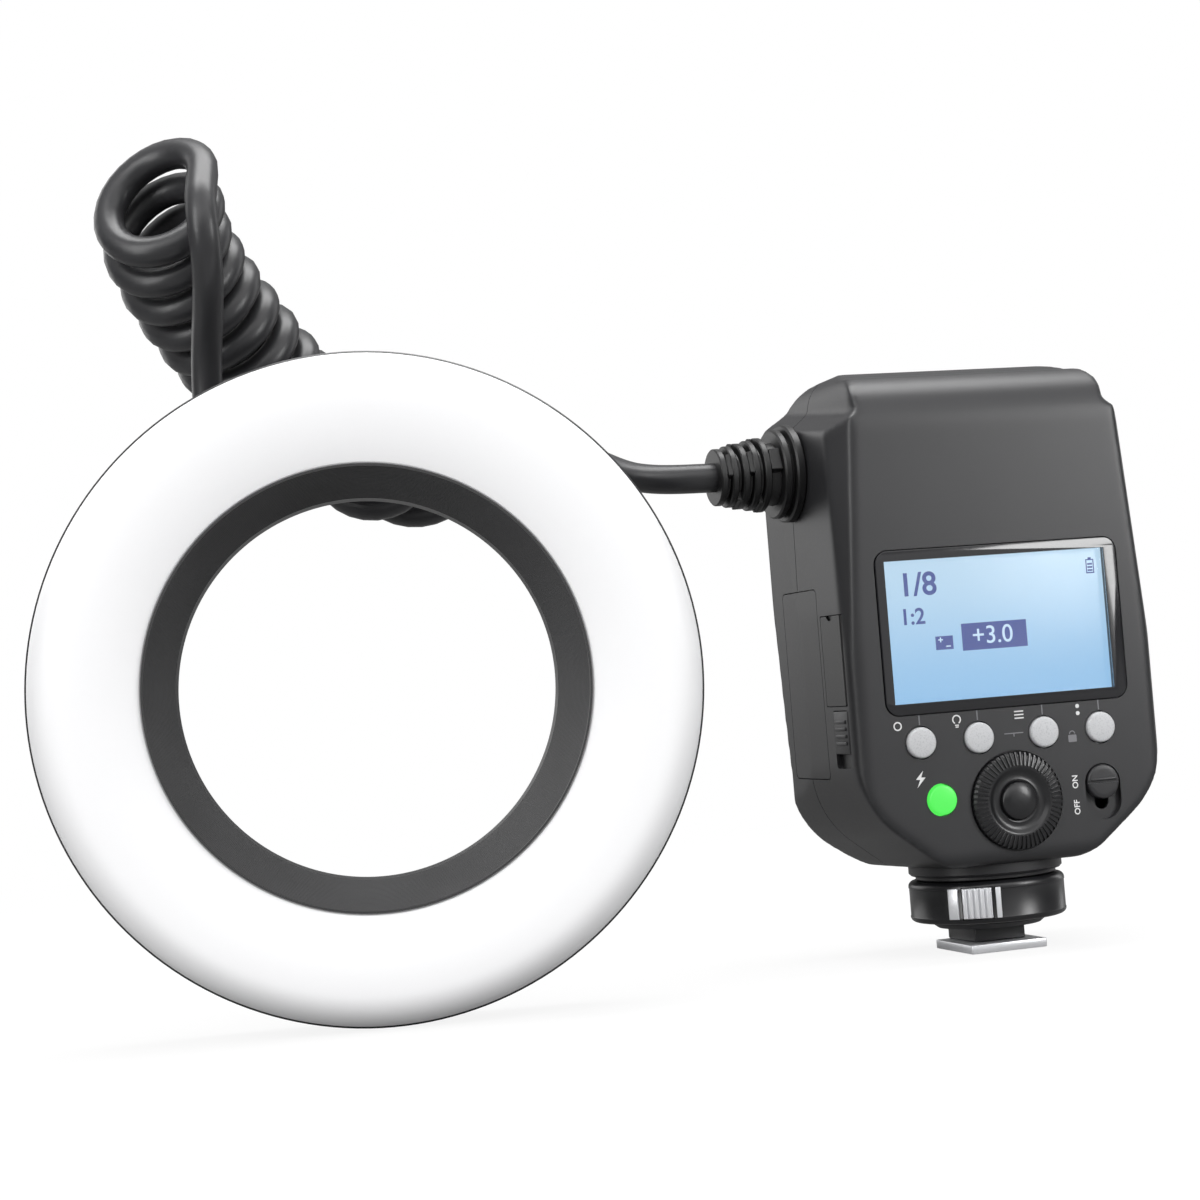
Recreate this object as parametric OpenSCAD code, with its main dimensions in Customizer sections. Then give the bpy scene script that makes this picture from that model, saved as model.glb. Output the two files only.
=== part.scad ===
// Macro ring flash: a ring-shaped flash head on a curly cord, and its hot-shoe controller.
// Millimetres. The origin is the centre of the foot plate's underside, on the floor.
// +X is to the user's right, -Y points to the user who reads the display, +Z is up.

/* [Hot-shoe foot] */
// Width of the foot plate across its rails
shoe_w = 18.6; // [18:0.1:18.8]
// Length of the foot plate
shoe_len = 20; // [18:0.5:22]
// Thickness of the foot plate
shoe_t = 2; // [1.8:0.1:2.2]
// Width of the block above the foot plate, between the shoe's rails
stem_w = 12.4; // [12:0.1:12.5]
// How far the block reaches in front of the foot's middle
stem_front = 5.4; // [5.2:0.1:7]
// How far the block reaches behind the foot's middle
stem_back = 9.6; // [9:0.1:10]
// Height of the block above the foot plate
stem_h = 3.5; // [3:0.1:5]
// Thickness of the flange under the lock collar
flange_t = 1.3; // [1:0.1:2]
// Diameter of the core that the lock collar turns on
core_d = 22; // [20:0.5:23]
// Diameter of the locking pin
pin_d = 2.4; // [2:0.1:2.6]
// Distance of the locking pin behind the middle of the foot
pin_y = 6; // [5:0.5:7]
// Diameter of a contact pin
contact_d = 1.6; // [1.2:0.1:1.8]
// Spacing of the contact pins
contact_pitch = 4; // [3.5:0.1:4.5]

/* [Lock collar] */
// Diameter of the collar
collar_d = 35.4; // [34:0.2:37]
// Height of the collar
collar_h = 9.3; // [8.5:0.1:11]
// Angle of the tab from the user's side, towards the cord side
tab_angle = 32; // [20:1:45]
// Width of the press tab
tab_w = 6.6; // [6:0.1:8]
// Height of the press tab
tab_h = 6.8; // [6:0.1:7.2]
// How far the tab stands out of the collar
tab_proud = 0.5; // [0.3:0.1:0.8]
// How far the tab can be pressed
tab_travel = 1; // [0.6:0.1:1.2]
// Diameter of the neck ring
neck_d = 34.8; // [33:0.2:36]
// Height of the neck ring
neck_h = 2.4; // [2:0.1:3]
// Height of the waist under the neck ring
waist_h = 0.9; // [0.6:0.1:1.5]

/* [Controller body] */
// Width of the body across its cheeks
body_w = 74; // [72:0.5:80]
// Height of the body above the neck
body_h = 113.4; // [112:0.2:120]
// Distance of the display face in front of the foot's middle
face_out = 20; // [19.5:0.5:22]
// Distance of the far wall behind the foot's middle
back_out = 31; // [30:0.5:34]
// Wall of the covers
wall = 2; // [1.8:0.1:2.4]
// Radius of the two lower corners
corner_r = 21.4; // [20:0.2:23]
// Slope of the underside from the neck to the lower corners
flank_angle = 38; // [35:1:42]
// Radius of the roll along the top's near edge
roll_r = 13; // [12:0.5:15]
// Radius of the roll along the top's far edge
back_roll_r = 24; // [22:0.5:26]
// Distance of the covers' parting line behind the foot's middle
split_y = 8.5; // [7:0.5:9.5]

/* [Display] */
// Width of the display frame
bezel_w = 58.6; // [56:0.2:60]
// Height of the display frame
bezel_h = 36.2; // [34:0.2:37]
// Width of the screen
screen_w = 52.8; // [50:0.2:54]
// Height of the screen
screen_h = 31.4; // [30:0.2:32]
// Height of the display's middle above the body's underside
display_up = 53; // [52.5:0.1:55]
// How far the display frame stands out of the face
bezel_proud = 0.5; // [0.2:0.1:1]

/* [Controls] */
// Diameter of the four round buttons
button_d = 6.8; // [6:0.1:7.2]
// Spacing of the two middle buttons
inner_pitch = 15.8; // [14:0.2:16.4]
// Spacing of the two outer buttons
outer_pitch = 43.6; // [42:0.2:45]
// Height of the button row above the body's underside
row_up = 28.6; // [28:0.1:28.8]
// How far a button stands out of the face
button_proud = 1; // [0.6:0.1:1.4]
// How far a button can be pressed
button_travel = 0.8; // [0.5:0.1:1]
// Diameter of the test button
test_d = 6.6; // [6:0.1:7]
// Distance of the test button left of the middle
test_left = 17.9; // [17.5:0.1:19]
// Height of the test button above the body's underside
test_up = 15.7; // [15:0.1:16.5]
// Diameter of the control dial
dial_d = 21.6; // [20:0.2:22]
// How far the dial stands out of the face
dial_proud = 2; // [1.5:0.1:2.5]
// Height of the dial's middle above the body's underside
dial_up = 14; // [13.6:0.1:14.4]
// Number of ribs round the dial
dial_ribs = 48; // [30:2:60]
// Diameter of the button in the dial
set_d = 8.4; // [8:0.1:9]
// Width of the power switch's slot
switch_w = 8.7; // [8:0.1:9]
// Height of the power switch's slot
switch_h = 12.6; // [12:0.1:13]
// Distance of the power switch right of the middle
switch_right = 21.3; // [21:0.1:21.8]
// Height of the power switch's middle above the body's underside
switch_up = 14.2; // [14:0.1:15]

/* [Left side] */
// Height of the battery pack's outer panel
battery_h = 43; // [40:0.5:44]
// Width of the battery pack's outer panel
battery_w = 23.5; // [20:0.5:24]
// Length of the battery pack
battery_len = 54; // [50:1:56]
// Distance of the battery panel's near edge in front of the foot's middle
battery_front = 3; // [2.5:0.1:3.2]
// Height of the battery panel's lower edge above the body's underside
battery_up = 21.5; // [21:0.1:22]
// Height of the port cover
port_h = 20; // [18:0.5:20.5]
// Width of the port cover
port_w = 12; // [11:0.1:12.2]
// Height of the port cover's lower edge above the body's underside
port_up = 38; // [37.5:0.1:39]
// Height of the battery latch
latch_h = 9.5; // [8:0.1:9.8]
// Width of the battery latch
latch_w = 8.4; // [8:0.1:8.8]
// How far the battery latch slides down
latch_travel = 3; // [2:0.1:3.2]
// Height of the cable gland's axis below the body's top
gland_down = 21.7; // [21:0.1:22.5]
// Length of the cable gland outside the body
gland_len = 18; // [17:0.5:22]
// Diameter of the cable gland at the body
gland_d = 22.4; // [21:0.2:23]
// Diameter of the cable gland at its tip
gland_tip_d = 13; // [11:0.2:14]
// Number of ribs on the cable gland
gland_ribs = 6; // [4:1:6]

/* [Ring head] */
// Outer diameter of the ring
ring_d = 140; // [136:1:146]
// Depth of the ring along its axis
ring_depth = 26; // [25:0.5:28]
// Diameter of the bore at the lens side
bore_d = 80; // [78:0.5:82]
// Diameter of the bore at the light side
mouth_d = 90.6; // [88:0.2:92]
// Length of the straight part of the bore
bore_len = 9; // [8:0.5:10]
// Depth of the ring's rim, where the diffuser begins
rim_depth = 17.5; // [17:0.1:18.5]
// Wall of the ring's housing and diffuser
ring_wall = 2; // [1.6:0.1:2.4]
// Radius of the diffuser's rounded outer edge
crown_r = 7; // [6:0.2:7.2]
// Diameter of a flash tube
tube_d = 4; // [3:0.1:5]
// Angle that each flash tube covers
tube_angle = 158; // [150:1:162]

/* [Cord] */
// Diameter of the cord
cord_d = 6.7; // [6.2:0.1:6.8]
// Diameter of the curls at the middle of the cord
curl_d = 22.7; // [22:0.1:23]

/* [Fits] */
// Running clearance on a radius
run_fit = 0.08; // [0.04:0.01:0.1]
// Gap round a piece that slides or is pressed
slide_gap = 0.2; // [0.15:0.01:0.25]
// Gap between pieces that pass each other
pass_gap = 0.3; // [0.25:0.01:0.4]

/* [Hidden] */

$fn = 64;
big = 400;
eps = 0.01;

// Colours
black_plastic = "#2b2b2d";
black_rubber = "#1f1f21";
dark_metal = "#55585c";
bright_metal = "#c9ccd0";
board_green = "#2f5b3c";
pale_grey = "#b9b9bc";

// Heights of the foot, from the floor up
flange_z = shoe_t + stem_h;
collar_z0 = flange_z + flange_t + pass_gap;
collar_z1 = collar_z0 + collar_h;
waist_z = collar_z1 + pass_gap;
neck_z = waist_z + waist_h;
body_z0 = neck_z + neck_h;
body_top = body_z0 + body_h;

// Foot
core_r = core_d / 2;
flange_r = core_r + 2;
pin_fit = 0.1;
head_z = shoe_t + 8;
head_t = 1.5;
head_r = pin_d / 2 + 0.9;
well_z = shoe_t + 2;
well_r = head_r + slide_gap;
spring_h = 4.2;
contact_fit = 0.1;
contact_len = shoe_t + 3;
contact_lift = 0.05;
wire_r = 4;
waist_in = 1.5;

// Collar
collar_r = collar_d / 2;
collar_edge = 1.2;
tab_z0 = (collar_z0 + collar_z1 - tab_h) / 2;
tab_depth = 3.6;
tab_groove = 0.5;
tab_grooves = 5;
trim_t = 0.5;
trim_proud = 0.25;
trim_wide = 8;
trim_thin = 3.6;
trim_gap = 3;

// Body outline
half_w = body_w / 2;
face_y = -face_out;
corner_z = body_z0 + 25.8;
side_edge_r = 3;
back_edge_r = 2.5;
flank_tilt = 4.5;
lean = 1.2;
lean_z = body_z0 + 60;
shoulder_w = 5;
top_half = half_w - lean - shoulder_w;
top_edge_r = 6;
bulge_edge_r = 4;
shoulder_z = body_top - 13.1;
shoulder_up = 4;
shoulder_slope = 0.8;
shoulder_tilt = 6;
back_w = half_w - 1.4;
back_low_y = back_out - 6;
back_low_z = body_z0 + 22;
back_taper_z = body_z0 + 68;
back_foot_r = 8;
back_roll_y = 7;
dome_r = 41;
dome_turn = 20;
roll_z = body_top - 15;
bevel_z0 = body_z0 + 30;
bevel_rise = 72;
bevel_in = 5;
bevel_back = 9;
bottom_half = half_w - corner_r + corner_r * sin(flank_angle)
  - (corner_z - corner_r * cos(flank_angle) - body_z0) / tan(flank_angle);

// Inside the body
board_t = 1.6;
board_y0 = face_y + 9.8;
board_y1 = board_y0 + board_t;
board_inset = wall + 0.4;
board_half = half_w - 5;
board_z0 = body_z0 + 5.5;
board_z1 = body_top - 14;
boss_r = 3;
boss_bore = 1.25;
boss_fit = 0.3;
boss_at = [[-28, body_z0 + 16], [28, body_z0 + 16], [-25, body_top - 8.5], [25, body_top - 8.5]];
screw_head_r = 2.4;
screw_head_t = 2;
screw_wall = 1.2;
screw_seat_y = split_y + 4;
screw_len = 13;

// Display
display_z = body_z0 + display_up;
bezel_sink = 1.2;
bezel_fit = 0.1;
window_w = screen_w + 2;
window_h = screen_h + 1.6;
glass_t = 1;
panel_t = 4;
panel_w = screen_w + 5;
panel_h = screen_h + 3.4;
panel_y0 = face_y + bezel_sink + glass_t;
leg_d = 3;
screen_dip = 0.2;

// Controls
row_z = body_z0 + row_up;
test_z = body_z0 + test_up;
dial_z = body_z0 + dial_up;
switch_z = body_z0 + switch_up;
button_fit = 0.15;
flange_gap = 0.05;
button_flange_w = 0.7;
button_flange_t = 0.8;
button_stem_d = 3;
dome_gap = 0.4;
stem_in = wall + flange_gap + button_flange_t + 1.6;
dome_in = stem_in + button_travel + dome_gap;
dome_d = 5.2;
sheet_t = 1.2;
sheet_edge = 1;
dome_taper = 1;
dial_sink = 0.8;
dial_hub_d = 13;
dial_in = 3.6;
rib_depth = 0.6;
encoder_w = 15;
set_stem_d = 4.8;
set_in = 7;
set_proud = 0.5;
thumb_d = switch_w - 2 * slide_gap - 0.7;
switch_sink = 1.2;
switch_stem = 3;
switch_travel = switch_h - switch_w + 0.5;
thumb_z = switch_z + switch_travel / 2;
thumb_proud = 0.9;
thumb_in = 6;
switch_box = [6, 8.5];

// Left side
side_x = -half_w;
battery_y0 = -battery_front;
battery_z0 = body_z0 + battery_up;
pack_in = 1.3;
bay_wall = 1.2;
bay_y0 = battery_y0 + pack_in - pass_gap - bay_wall;
bay_y1 = battery_y0 + battery_w - pack_in + pass_gap + bay_wall;
bay_z0 = battery_z0 + pack_in - pass_gap - bay_wall;
bay_z1 = battery_z0 + battery_h - pack_in + pass_gap + bay_wall;
bay_x0 = side_x + wall;
pack_x1 = side_x + battery_len;
bay_x1 = pack_x1 + pass_gap + bay_wall;
contact_blade = 1;
blade_pitch = 5;
blade_h = 6;
blade_out = 3;
panel_gap = 0.3;
capacitor_r = 11;
capacitor_len = 46;
capacitor_right = 6;
capacitor_z = bay_z1 + capacitor_r + 1;
transformer = [16, 13, 13];
transformer_up = 1;
port_z0 = body_z0 + port_up;
port_apart = 1.6;
port_y1 = battery_y0 - port_apart;
port_y0 = port_y1 - port_w;
port_t = 1.6;
hinge_r = port_t / 2;
hinge_x = side_x + hinge_r - 0.1;
hinge_pin_r = 0.5;
hinge_pin_len = 0.8;
hinge_fit = 0.06;
socket_len = 4.6;
socket_gap = 0.4;
latch_below = 1.2;
latch_z0 = port_z0 - latch_below - latch_h;
latch_y0 = port_y0 + slide_gap;
latch_y1 = latch_y0 + latch_w;
latch_sink = 1.2;
latch_proud = 0.5;
latch_stem = 3;
latch_plate_t = 1;
gland_y = split_y;
gland_z = body_top - gland_down;
gland_r = gland_d / 2;
gland_tip_r = gland_tip_d / 2;
gland_neck_r = 7;
gland_fit = 0.1;
gland_clip_r = 8.2;
gland_clip_t = 2;
gland_seat = 0.5;
gland_ring_t = 1.6;
gland_rib_w = 1.5;
gland_rib_r = 9;

// Ring head: rear face's middle, turned about Z so that the light faces the camera side
ring_r = ring_d / 2;
ring_x = -140.3;
ring_y = -2.6;
ring_yaw = -11.4;
bore_r = bore_d / 2;
mouth_r = mouth_d / 2;
sleeve_t = 2;
sleeve_fit = 0.1;
lip_t = 1.4;
lip_w = 0.5;
rear_chamfer = 5;
window_fit = 0.15;
window_dip = 0.8;
window_sink = 0.4;
window_t = 1.6;
board_gap = 1.6;
ring_board_t = 1.6;
ring_board_z = ring_wall + board_gap;
ring_board_r0 = bore_r + sleeve_t + 5;
ring_board_r1 = ring_r - 5;
tray_z0 = ring_board_z + ring_board_t;
tray_z1 = rim_depth - 1;
tray_t = 0.6;
tray_gap = 0.6;
tray_flare = 2.8;
tray_r0 = mouth_r + lip_w + tray_gap;
tray_r1 = ring_r - ring_wall - tray_gap;
tray_mid = (tray_r0 + tray_r1) / 2;
tray_half = (tray_r1 - tray_r0) / 2 - tray_flare;
tray_angle = 168;
lamp_w = 3;
lamp_t = 1.2;
tube_z = tray_z0 + 6;
screw_ring_r = ring_r - 10;
screw_angles = [45, 135, 225, 315];
ring_screw_r = 1.1;
ring_head_r = 2.2;
ring_head_t = 1.1;
post_r = 3;
lever_t = 3;
lever_gap = 0.3;
lever_pin_r = 1.25;
lever_pin_x = ring_r - 12;
lever_boss_r = 4.4;
lever_claw_r = 1.8;
lever_claw_x = bore_r + 6.5;
lever_claw_drop = 10.5;
lever_thumb_r = 3.2;
lever_thumb_x = ring_r - 6.2;
lever_thumb_rise = 10.5;
lever_head_r = 2.4;
lever_head_t = 0.8;
lever_well_r = 2.6;
lever_well_t = 1.7;
outlet_x = -29.8;
outlet_y0 = 34;
outlet_y1 = 46;
outlet_w = 14;
outlet_floor = 3;
outlet_back = 7.9;
outlet_t = 13;
relief_len = 10;
relief_r0 = 6;
relief_r1 = 4.6;

// Cord route, points chosen by hand
cord_r = cord_d / 2;
curl_r = curl_d / 2;
curls = 11.8;
curl_start = -45;
mouth_grow = 0.2;
mouth_turn = [0.42, 0.1, 0];
end_turn = [0, 1.3, 0];
mouth_fade = 2;
end_fade = 4;
curl_rings = 8;
curl_sides = 6;
lead_sides = 10;
coil_axis = [
  [-177.3, 1.4, 179.2], [-173.9, 11.8, 169.6], [-168, 20.3, 160.8], [-160.7, 27.5, 152.3],
  [-152.7, 34.3, 143.8], [-143.5, 41, 135.3], [-129.3, 48.7, 125.7], [-111.3, 56.8, 122]
];
head_route = [
  [-168, 7.5, 144.5], [-168, 2, 150.5], [-168.3, -5, 157], [-169, -11.2, 163], [-169.9, -14.2, 168.2]
];
body_route = [[-90, 48, 125.6], [-83.5, 41, 124.2], [-77.5, 29.5, 119.2], [-71.5, 15.5, 113]];

// Points on an arc round [cx, cy], in n steps
function arc(cx, cy, r, a0, a1, n) =
  [for (i = [0:n]) let (a = a0 + (a1 - a0) * i / n) [cx + r * cos(a), cy + r * sin(a)]];
function mirrored(right) = concat(right, [for (i = [len(right) - 1:-1:0]) [-right[i][0], right[i][1]]]);
function unit(v) = v / norm(v);

// A point of the ring head's own frame, in the part's frame
function ring_point(x, y, t) = [
  ring_x + x * cos(ring_yaw) + t * sin(ring_yaw),
  ring_y + x * sin(ring_yaw) - t * cos(ring_yaw),
  ring_r + y
];

// Body outlines, each drawn in by d
function front_outline(d) = mirrored(concat(
  [[bottom_half - d * tan(flank_angle / 2), body_z0 + d]],
  arc(half_w - corner_r, corner_z, corner_r - d, flank_angle - 90, 0, 8),
  [[half_w - d, lean_z], [half_w - lean - d, body_top + 1]]
));
function side_outline(d) = concat(
  arc(face_y + side_edge_r, body_z0 + side_edge_r, side_edge_r - d, 180, 270, 4),
  arc(back_low_y - back_foot_r, body_z0 + back_foot_r, back_foot_r - d, -90, 0, 6),
  [[back_low_y - d, back_low_z], [back_out - d, back_taper_z]],
  arc(back_roll_y, body_top - back_roll_r, back_roll_r - d,
      acos(min(1, (back_out - d - back_roll_y) / (back_roll_r - d))), 90, 8),
  arc(back_roll_y, body_top - dome_r, dome_r - d, 90, 90 + dome_turn, 4),
  arc(face_y + roll_r, roll_z, roll_r - d, 90 + dome_turn, 180, 7)
);
function plan_outline(d) = mirrored(concat(
  arc(half_w - side_edge_r, face_y + side_edge_r, side_edge_r - d, -90, 0, 4),
  [[half_w - d, split_y]],
  arc(back_w - back_edge_r, back_out - back_edge_r, back_edge_r - d, 0, 90, 4)
));
function bulge_front(d) = mirrored(concat(
  [[top_half - d, body_z0]],
  arc(top_half - top_edge_r, body_top - top_edge_r, top_edge_r - d, 0, 90, 6)
));
function bulge_plan(d) = mirrored(concat(
  arc(top_half - bulge_edge_r, face_y + bulge_edge_r, bulge_edge_r - d, -90, 0, 5),
  [[top_half - d, back_out]]
));

// Corner bevel's plane, from its three named edges
bevel_normal = unit([bevel_back * bevel_rise, -bevel_in * bevel_rise, bevel_in * bevel_back]);
bevel_turn = atan2(bevel_normal[1], bevel_normal[0]);
bevel_tilt = -asin(bevel_normal[2]);

module bevel_cut(d) {
  translate([half_w, face_y, bevel_z0])
    rotate([0, bevel_tilt, bevel_turn])
      translate([-d, -big / 2, -big / 2])
        cube([big, big, big]);
}

// What the shoulders leave out, on both sides of the top
module shoulder_cut(d) {
  reach = 2 * half_w;
  drop = d * norm([1, shoulder_slope]);
  in_x = top_half - bulge_edge_r;
  in_z = shoulder_up + shoulder_slope * bulge_edge_r - drop;
  far_z = shoulder_up - shoulder_slope * (reach - top_half) - drop;
  difference() {
    translate([0, 0, shoulder_z])
      rotate([shoulder_tilt, 0, 0])
        rotate([90, 0, 0])
          linear_extrude(height = big, center = true)
            polygon([
              [reach, far_z], [in_x, in_z], [-in_x, in_z], [-reach, far_z],
              [-reach, reach], [reach, reach]
            ]);
    intersection() {
      rotate([90, 0, 0])
        linear_extrude(height = big, center = true)
          polygon(bulge_front(d));
      linear_extrude(height = big)
        polygon(bulge_plan(d));
    }
  }
}

module body_solid(d) {
  difference() {
    intersection() {
      translate([0, face_y, 0])
        rotate([90 - flank_tilt, 0, 0])
          linear_extrude(height = big, center = true)
            polygon(front_outline(d));
      rotate([90, 0, 90])
        linear_extrude(height = big, center = true)
          polygon(side_outline(d));
      linear_extrude(height = big)
        polygon(plan_outline(d));
    }
    bevel_cut(d);
    mirror([1, 0, 0])
      bevel_cut(d);
    shoulder_cut(d);
  }
}

// Local +Z points out of the display face
module on_face(x, z) {
  translate([x, face_y, z])
    rotate([90, 0, 0])
      children();
}

// A box given by its two corners
module span(a, b) {
  translate(a)
    cube(b - a);
}

module stadium(w, h, depth) {
  linear_extrude(height = depth)
    union() {
      square([w, h - w], center = true);
      translate([0, (h - w) / 2])
        circle(d = w);
      translate([0, (w - h) / 2])
        circle(d = w);
    }
}

module bosses(y0, y1, r) {
  for (p = boss_at)
    translate([p[0], y1, p[1]])
      rotate([90, 0, 0])
        cylinder(r = r, h = y1 - y0);
}

module half_shell(near) {
  difference() {
    union() {
      difference() {
        body_solid(0);
        body_solid(wall);
      }
      intersection() {
        body_solid(wall / 2);
        bosses(face_y, back_out, near ? boss_r : screw_head_r + screw_wall);
      }
    }
    translate([-big / 2, near ? split_y : split_y - big, 0])
      cube([big, big, big]);
    side_openings();
  }
}

// Everything that passes through the covers on the cord side
module side_openings() {
  span([side_x - wall, battery_y0, battery_z0],
       [side_x + 2 * wall, battery_y0 + battery_w, battery_z0 + battery_h]);
  translate([side_x - wall, gland_y, gland_z])
    rotate([0, 90, 0])
      cylinder(r = gland_neck_r + gland_fit, h = 3 * wall);
}

module rear_cover() {
  color(black_plastic)
    difference() {
      half_shell(true);
      bosses(split_y - screw_len, split_y + eps, boss_bore);
      face_openings();
      port_openings();
      latch_openings();
    }
}

module face_openings() {
  on_face(0, display_z) {
    translate([0, 0, -bezel_sink / 2])
      cube([bezel_w + 2 * bezel_fit, bezel_h + 2 * bezel_fit, bezel_sink + eps], center = true);
    cube([window_w, window_h, 4 * wall], center = true);
  }
  for (x = [-outer_pitch, -inner_pitch, inner_pitch, outer_pitch] / 2)
    on_face(x, row_z)
      cylinder(d = button_d + 2 * button_fit, h = 4 * wall, center = true);
  on_face(-test_left, test_z)
    cylinder(d = test_d + 2 * button_fit, h = 4 * wall, center = true);
  on_face(0, dial_z) {
    translate([0, 0, -dial_sink])
      cylinder(d = dial_d + 2 * slide_gap, h = 2 * wall);
    cylinder(d = dial_hub_d + 2 * run_fit, h = 4 * wall, center = true);
  }
  on_face(switch_right, switch_z) {
    translate([0, 0, -switch_sink])
      stadium(switch_w, switch_h, 2 * wall);
    translate([0, 0, -2 * wall])
      stadium(switch_stem + 2 * slide_gap, switch_stem + switch_travel + 3 * slide_gap, 3 * wall);
  }
}

module port_openings() {
  span([side_x - wall, port_y0 + hinge_r, port_z0 - slide_gap],
       [bay_x0 + eps, port_y1 + slide_gap, port_z0 + port_h + slide_gap]);
  translate([hinge_x, port_y0 + hinge_r, port_z0 - slide_gap])
    cylinder(r = hinge_r + slide_gap, h = port_h + 2 * slide_gap);
  span([side_x - wall, port_y0 - slide_gap, port_z0 - slide_gap],
       [hinge_x, port_y0 + hinge_r + eps, port_z0 + port_h + slide_gap]);
  translate([hinge_x, port_y0 + hinge_r, port_z0 - hinge_pin_len - slide_gap])
    cylinder(r = hinge_pin_r + hinge_fit, h = port_h + 2 * hinge_pin_len + 2 * slide_gap);
}

module latch_openings() {
  span([side_x - wall, latch_y0 - slide_gap, latch_z0 - latch_travel - slide_gap],
       [side_x + latch_sink, latch_y1 + slide_gap, latch_z0 + latch_h + slide_gap]);
  latch_mid = (latch_y0 + latch_y1) / 2;
  latch_up = latch_z0 + latch_h / 2;
  stem_half = latch_stem / 2 + slide_gap;
  span([side_x, latch_mid - stem_half, latch_up - stem_half - latch_travel],
       [bay_x0 + eps, latch_mid + stem_half, latch_up + stem_half]);
}

module front_cover() {
  color(black_plastic)
    difference() {
      half_shell(false);
      bosses(split_y - eps, back_out, boss_bore);
      bosses(screw_seat_y, back_out + wall, screw_head_r + pass_gap);
    }
}

module body_screws() {
  color(dark_metal)
    for (p = boss_at)
      translate([p[0], screw_seat_y + screw_head_t, p[1]])
        rotate([90, 0, 0]) {
          cylinder(r = screw_head_r, h = screw_head_t);
          cylinder(r = boss_bore - run_fit, h = screw_len);
        }
}

module display_bezel() {
  color(black_rubber)
    on_face(0, display_z)
      difference() {
        translate([-bezel_w / 2, -bezel_h / 2, -bezel_sink])
          cube([bezel_w, bezel_h, bezel_sink + bezel_proud]);
        cube([screen_w, screen_h, 4 * wall], center = true);
      }
}

module display_glass() {
  color("#bfe0f5")
    on_face(0, display_z)
      translate([0, 0, -bezel_sink - glass_t / 2])
        cube([window_w - 2 * slide_gap, window_h - 2 * slide_gap, glass_t], center = true);
}

module display_panel() {
  color("#8fc0e8")
    difference() {
      union() {
        span([-panel_w / 2, panel_y0, display_z - panel_h / 2],
             [panel_w / 2, panel_y0 + panel_t, display_z + panel_h / 2]);
        for (sx = [-1, 1], sz = [-1, 1])
          translate([sx * (panel_w - leg_d) / 2, board_y0, display_z + sz * (panel_h - leg_d) / 2])
            rotate([90, 0, 0])
              cylinder(d = leg_d, h = board_y0 - panel_y0);
      }
      span([-screen_w / 2, panel_y0 - 1, display_z - screen_h / 2],
           [screen_w / 2, panel_y0 + screen_dip, display_z + screen_h / 2]);
    }
}

module push_button(x, z, d) {
  chamfer = 0.4;
  on_face(x, z) {
    translate([0, 0, -wall - flange_gap])
      cylinder(d = d, h = wall + flange_gap + button_proud - chamfer);
    translate([0, 0, button_proud - chamfer])
      cylinder(d1 = d, d2 = d - 2 * chamfer, h = chamfer);
    translate([0, 0, -wall - flange_gap - button_flange_t])
      cylinder(d = d + 2 * button_flange_w, h = button_flange_t);
    translate([0, 0, -stem_in])
      cylinder(d = button_stem_d, h = stem_in - wall);
  }
}

module mode_button() {
  color(pale_grey)
    push_button(-outer_pitch / 2, row_z, button_d);
}

module lamp_button() {
  color(pale_grey)
    push_button(-inner_pitch / 2, row_z, button_d);
}

module menu_button() {
  color(pale_grey)
    push_button(inner_pitch / 2, row_z, button_d);
}

module ratio_button() {
  color(pale_grey)
    push_button(outer_pitch / 2, row_z, button_d);
}

module test_button() {
  color("#3fe04a")
    push_button(-test_left, test_z, test_d);
}

module keypad_membrane() {
  sheet_y0 = board_y0 - sheet_t;
  half = dome_d / 2 + sheet_edge;
  row_half = outer_pitch / 2 + half;
  color(pale_grey) {
    span([-row_half, sheet_y0, row_z - half], [row_half, board_y0, row_z + half]);
    span([-test_left - half, sheet_y0, test_z - half], [-test_left + half, board_y0, row_z]);
    for (p = [[-outer_pitch / 2, row_z], [-inner_pitch / 2, row_z], [inner_pitch / 2, row_z],
              [outer_pitch / 2, row_z], [-test_left, test_z]])
      on_face(p[0], p[1])
        translate([0, 0, sheet_y0 * -1 + face_y - eps])
          cylinder(d1 = dome_d, d2 = dome_d - dome_taper, h = sheet_y0 - face_y - dome_in);
  }
}

module control_dial() {
  knurl = [for (i = [0:2 * dial_ribs - 1])
    let (r = dial_d / 2 - (i % 2) * rib_depth, a = 180 * i / dial_ribs)
      [r * cos(a), r * sin(a)]];
  disc_in = dial_sink - slide_gap;
  dish = 0.8;
  color(black_plastic)
    on_face(0, dial_z)
      difference() {
        union() {
          translate([0, 0, -disc_in])
            linear_extrude(height = disc_in + dial_proud)
              polygon(knurl);
          translate([0, 0, -dial_in])
            cylinder(d = dial_hub_d, h = dial_in);
        }
        cylinder(d = set_d + 2 * button_fit, h = big, center = true);
        translate([0, 0, dial_proud - dish])
          cylinder(d1 = set_d + 2, d2 = dial_d - 5, h = dish + eps);
      }
}

module set_button() {
  chamfer = 0.6;
  color(black_plastic)
    on_face(0, dial_z) {
      cylinder(d = set_d, h = dial_proud + set_proud - chamfer);
      translate([0, 0, dial_proud + set_proud - chamfer])
        cylinder(d1 = set_d, d2 = set_d - 2 * chamfer, h = chamfer);
      translate([0, 0, -set_in])
        cylinder(d = set_stem_d, h = set_in);
    }
}

module dial_encoder() {
  top_in = dial_in + pass_gap;
  color(dark_metal)
    on_face(0, dial_z)
      difference() {
        translate([-encoder_w / 2, -encoder_w / 2, face_y - board_y0])
          cube([encoder_w, encoder_w, board_y0 - face_y - top_in]);
        cylinder(d = set_stem_d + 2 * run_fit, h = big, center = true);
      }
}

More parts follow.
